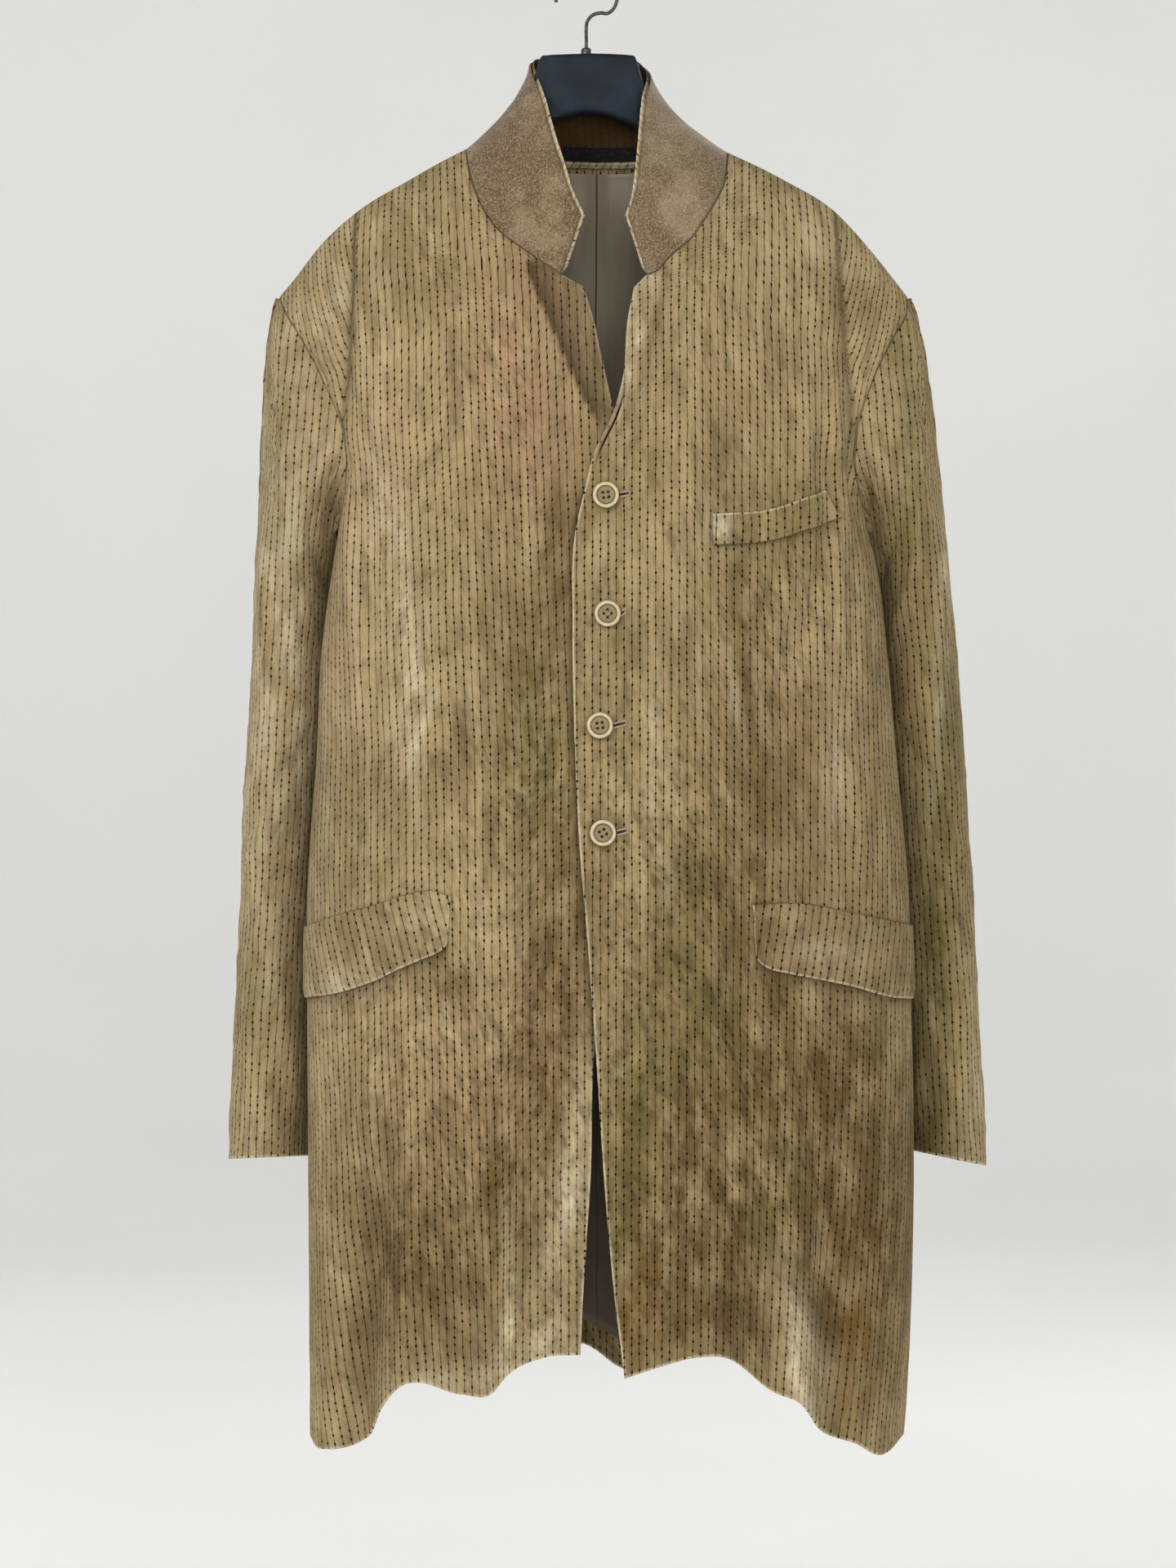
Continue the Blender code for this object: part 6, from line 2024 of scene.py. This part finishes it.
class CoatLook(bpy.types.PropertyGroup):
    """Sizes and colours that a user would change."""

    stripe_spacing: bpy.props.FloatProperty(
        name="Stripe Spacing", description="Between two pinstripes", default=0.0062, min=0.001, unit="LENGTH"
    )
    straw: colour_property("Straw", "The cloth where it is clean", 160, 141, 104)
    straw_dark: colour_property("Dark Straw", "The cloth where it is a little dirty", 134, 116, 81)
    straw_pale: colour_property("Pale Straw", "Streaks of paler cloth", 176, 158, 122)
    # Serves worn edges and bleached patches, and also painted highlights where the pale mark paints light, as
    # on the right sleeve and the left lapel's facet
    faded: colour_property("Faded", "Worn edges and bleached patches", 192, 178, 148)
    pink: colour_property("Pink Stain", "Warm rosy stains", 148, 120, 92)
    # Brown and Gold serve stains, and also paint shade on the top collar's inner face
    brown: colour_property("Brown Stain", "Muddy stains", 92, 74, 46)
    olive: colour_property("Olive Stain", "Greenish stains", 98, 89, 52)
    gold: colour_property("Gold Stain", "Rusty golden stains", 112, 82, 34)
    grime: colour_property("Grime", "Small dirty specks", 94, 78, 48)
    stripe: colour_property("Stripe", "The pinstripes", 50, 33, 12)
    # Bead also serves as painted shade: in the furrow inside the left lapel's edge and in each buttonhole's
    # slit
    bead: colour_property("Bead", "The darker beads on the stripes", 22, 13, 4)
    seam_shade: colour_property("Seam", "The shade along the seams", 56, 43, 26)
    felt: colour_property("Felt", "The undercollar", 132, 112, 86)
    felt_dark: colour_property("Dark Felt", "Its darker patches", 98, 78, 55)
    felt_pale: colour_property("Pale Fibre", "Its pale fibres", 170, 152, 124)
    felt_fleck: colour_property("Dark Fibre", "Its dark fibres", 64, 47, 30)
    lining: colour_property("Lining", "The satin lining", 168, 158, 138)
    lining_dark: colour_property("Dark Lining", "Its shaded bands", 145, 135, 115)
    lining_pale: colour_property("Pale Lining", "Its shine", 164, 155, 136)
    lining_seam: colour_property("Lining Seam", "Its middle seam", 36, 32, 26)
    # Painted shade on the lining's lower part, deep inside the coat
    lining_low: colour_property("Low Lining", "The lining towards the hem", 66, 52, 34)
    piping: colour_property("Piping", "Inside the left lapel's edge", 128, 104, 88)
    label: colour_property("Label", "The bare neck label", 18, 17, 18)
    label_worn: colour_property("Worn Label", "Its worn threads", 40, 38, 38)
    rim: colour_property("Button Rim", "The buttons' raised rim", 190, 176, 138)
    rim_pale: colour_property("Pale Rim", "Its paler clouds", 206, 194, 160)
    dish: colour_property("Button Dish", "The buttons' hollow middle", 122, 104, 70)
    # Also painted shade: the dark ring at the dish's wall
    dish_dark: colour_property("Dark Dish", "Its darker clouds", 92, 76, 48)
    # Painted shade: inside the buttons' holes, and with Bead in each buttonhole's slit
    hole: colour_property("Button Hole", "Inside the buttons' holes", 34, 25, 17)
    thread: colour_property("Thread", "Pale sewing thread", 190, 168, 146)
    thread_dark: colour_property("Dark Thread", "Its shaded side", 132, 108, 88)
    plastic: colour_property("Hanger", "The hanger's plastic", 18, 26, 35)
    plastic_pale: colour_property("Pale Hanger", "Its paler clouds", 31, 41, 51)
    scuff: colour_property("Scuff", "Faint marks on the hanger", 96, 104, 112)
    wire: colour_property("Hook", "The hook's plating", 80, 80, 80)
    wire_dull: colour_property("Dull Hook", "Its dulled spots", 52, 52, 52)
    paper: colour_property("Backdrop", "Floor and backdrop", 222, 222, 220)
    paper_pale: colour_property("Pale Backdrop", "Its paler clouds", 230, 230, 228)


def operator(name, label, text, work):
    """An Operator that makes one group of pieces."""

    def execute(self, context):
        work()
        return {"FINISHED"}

    body = {"bl_idname": f"coat.{name}", "bl_label": label, "__doc__": text, "execute": execute}
    return type(f"COAT_OT_{name}", (bpy.types.Operator,), body)


OPERATORS = [
    operator("hanger", "Hanger", "Make the hanger, its hook and the wire's finish", make_hanger),
    operator("fronts", "Fronts", "Make both fronts with their lapels", make_fronts),
    operator("back", "Back", "Make the back", make_back),
    operator("sleeves", "Sleeves", "Make both sleeves", make_sleeves),
    operator("collar", "Collar", "Make the undercollar, the top collar and the label", make_collar),
    operator("lining", "Lining", "Make the back's lining", make_lining),
    operator("pockets", "Pockets", "Make the flaps and the chest welt", make_pockets),
    operator("buttons", "Buttons", "Make the buttons and their thread", make_buttons),
    operator("stage", "Stage", "Make the backdrop, the light and the camera", make_stage),
]


class COAT_PT_panel(bpy.types.Panel):
    """The coat's pieces and colours"""

    bl_idname = "COAT_PT_panel"
    bl_label = "Coat"
    bl_space_type = "VIEW_3D"
    bl_region_type = "UI"
    bl_category = "Coat"

    def draw(self, context):
        for kind in OPERATORS:
            self.layout.operator(kind.bl_idname)
        for name in CoatLook.__annotations__:
            self.layout.prop(context.scene.coat_look, name)


CLASSES = [CoatLook, *OPERATORS, COAT_PT_panel]


def register():
    for kind in CLASSES:
        bpy.utils.register_class(kind)
    bpy.types.Scene.coat_look = bpy.props.PointerProperty(type=CoatLook)


def unregister():
    del bpy.types.Scene.coat_look
    for kind in reversed(CLASSES):
        bpy.utils.unregister_class(kind)


def main():
    register()
    for kind in OPERATORS:
        group, name = kind.bl_idname.split(".")
        getattr(getattr(bpy.ops, group), name)()


if __name__ == "__main__":
    main()
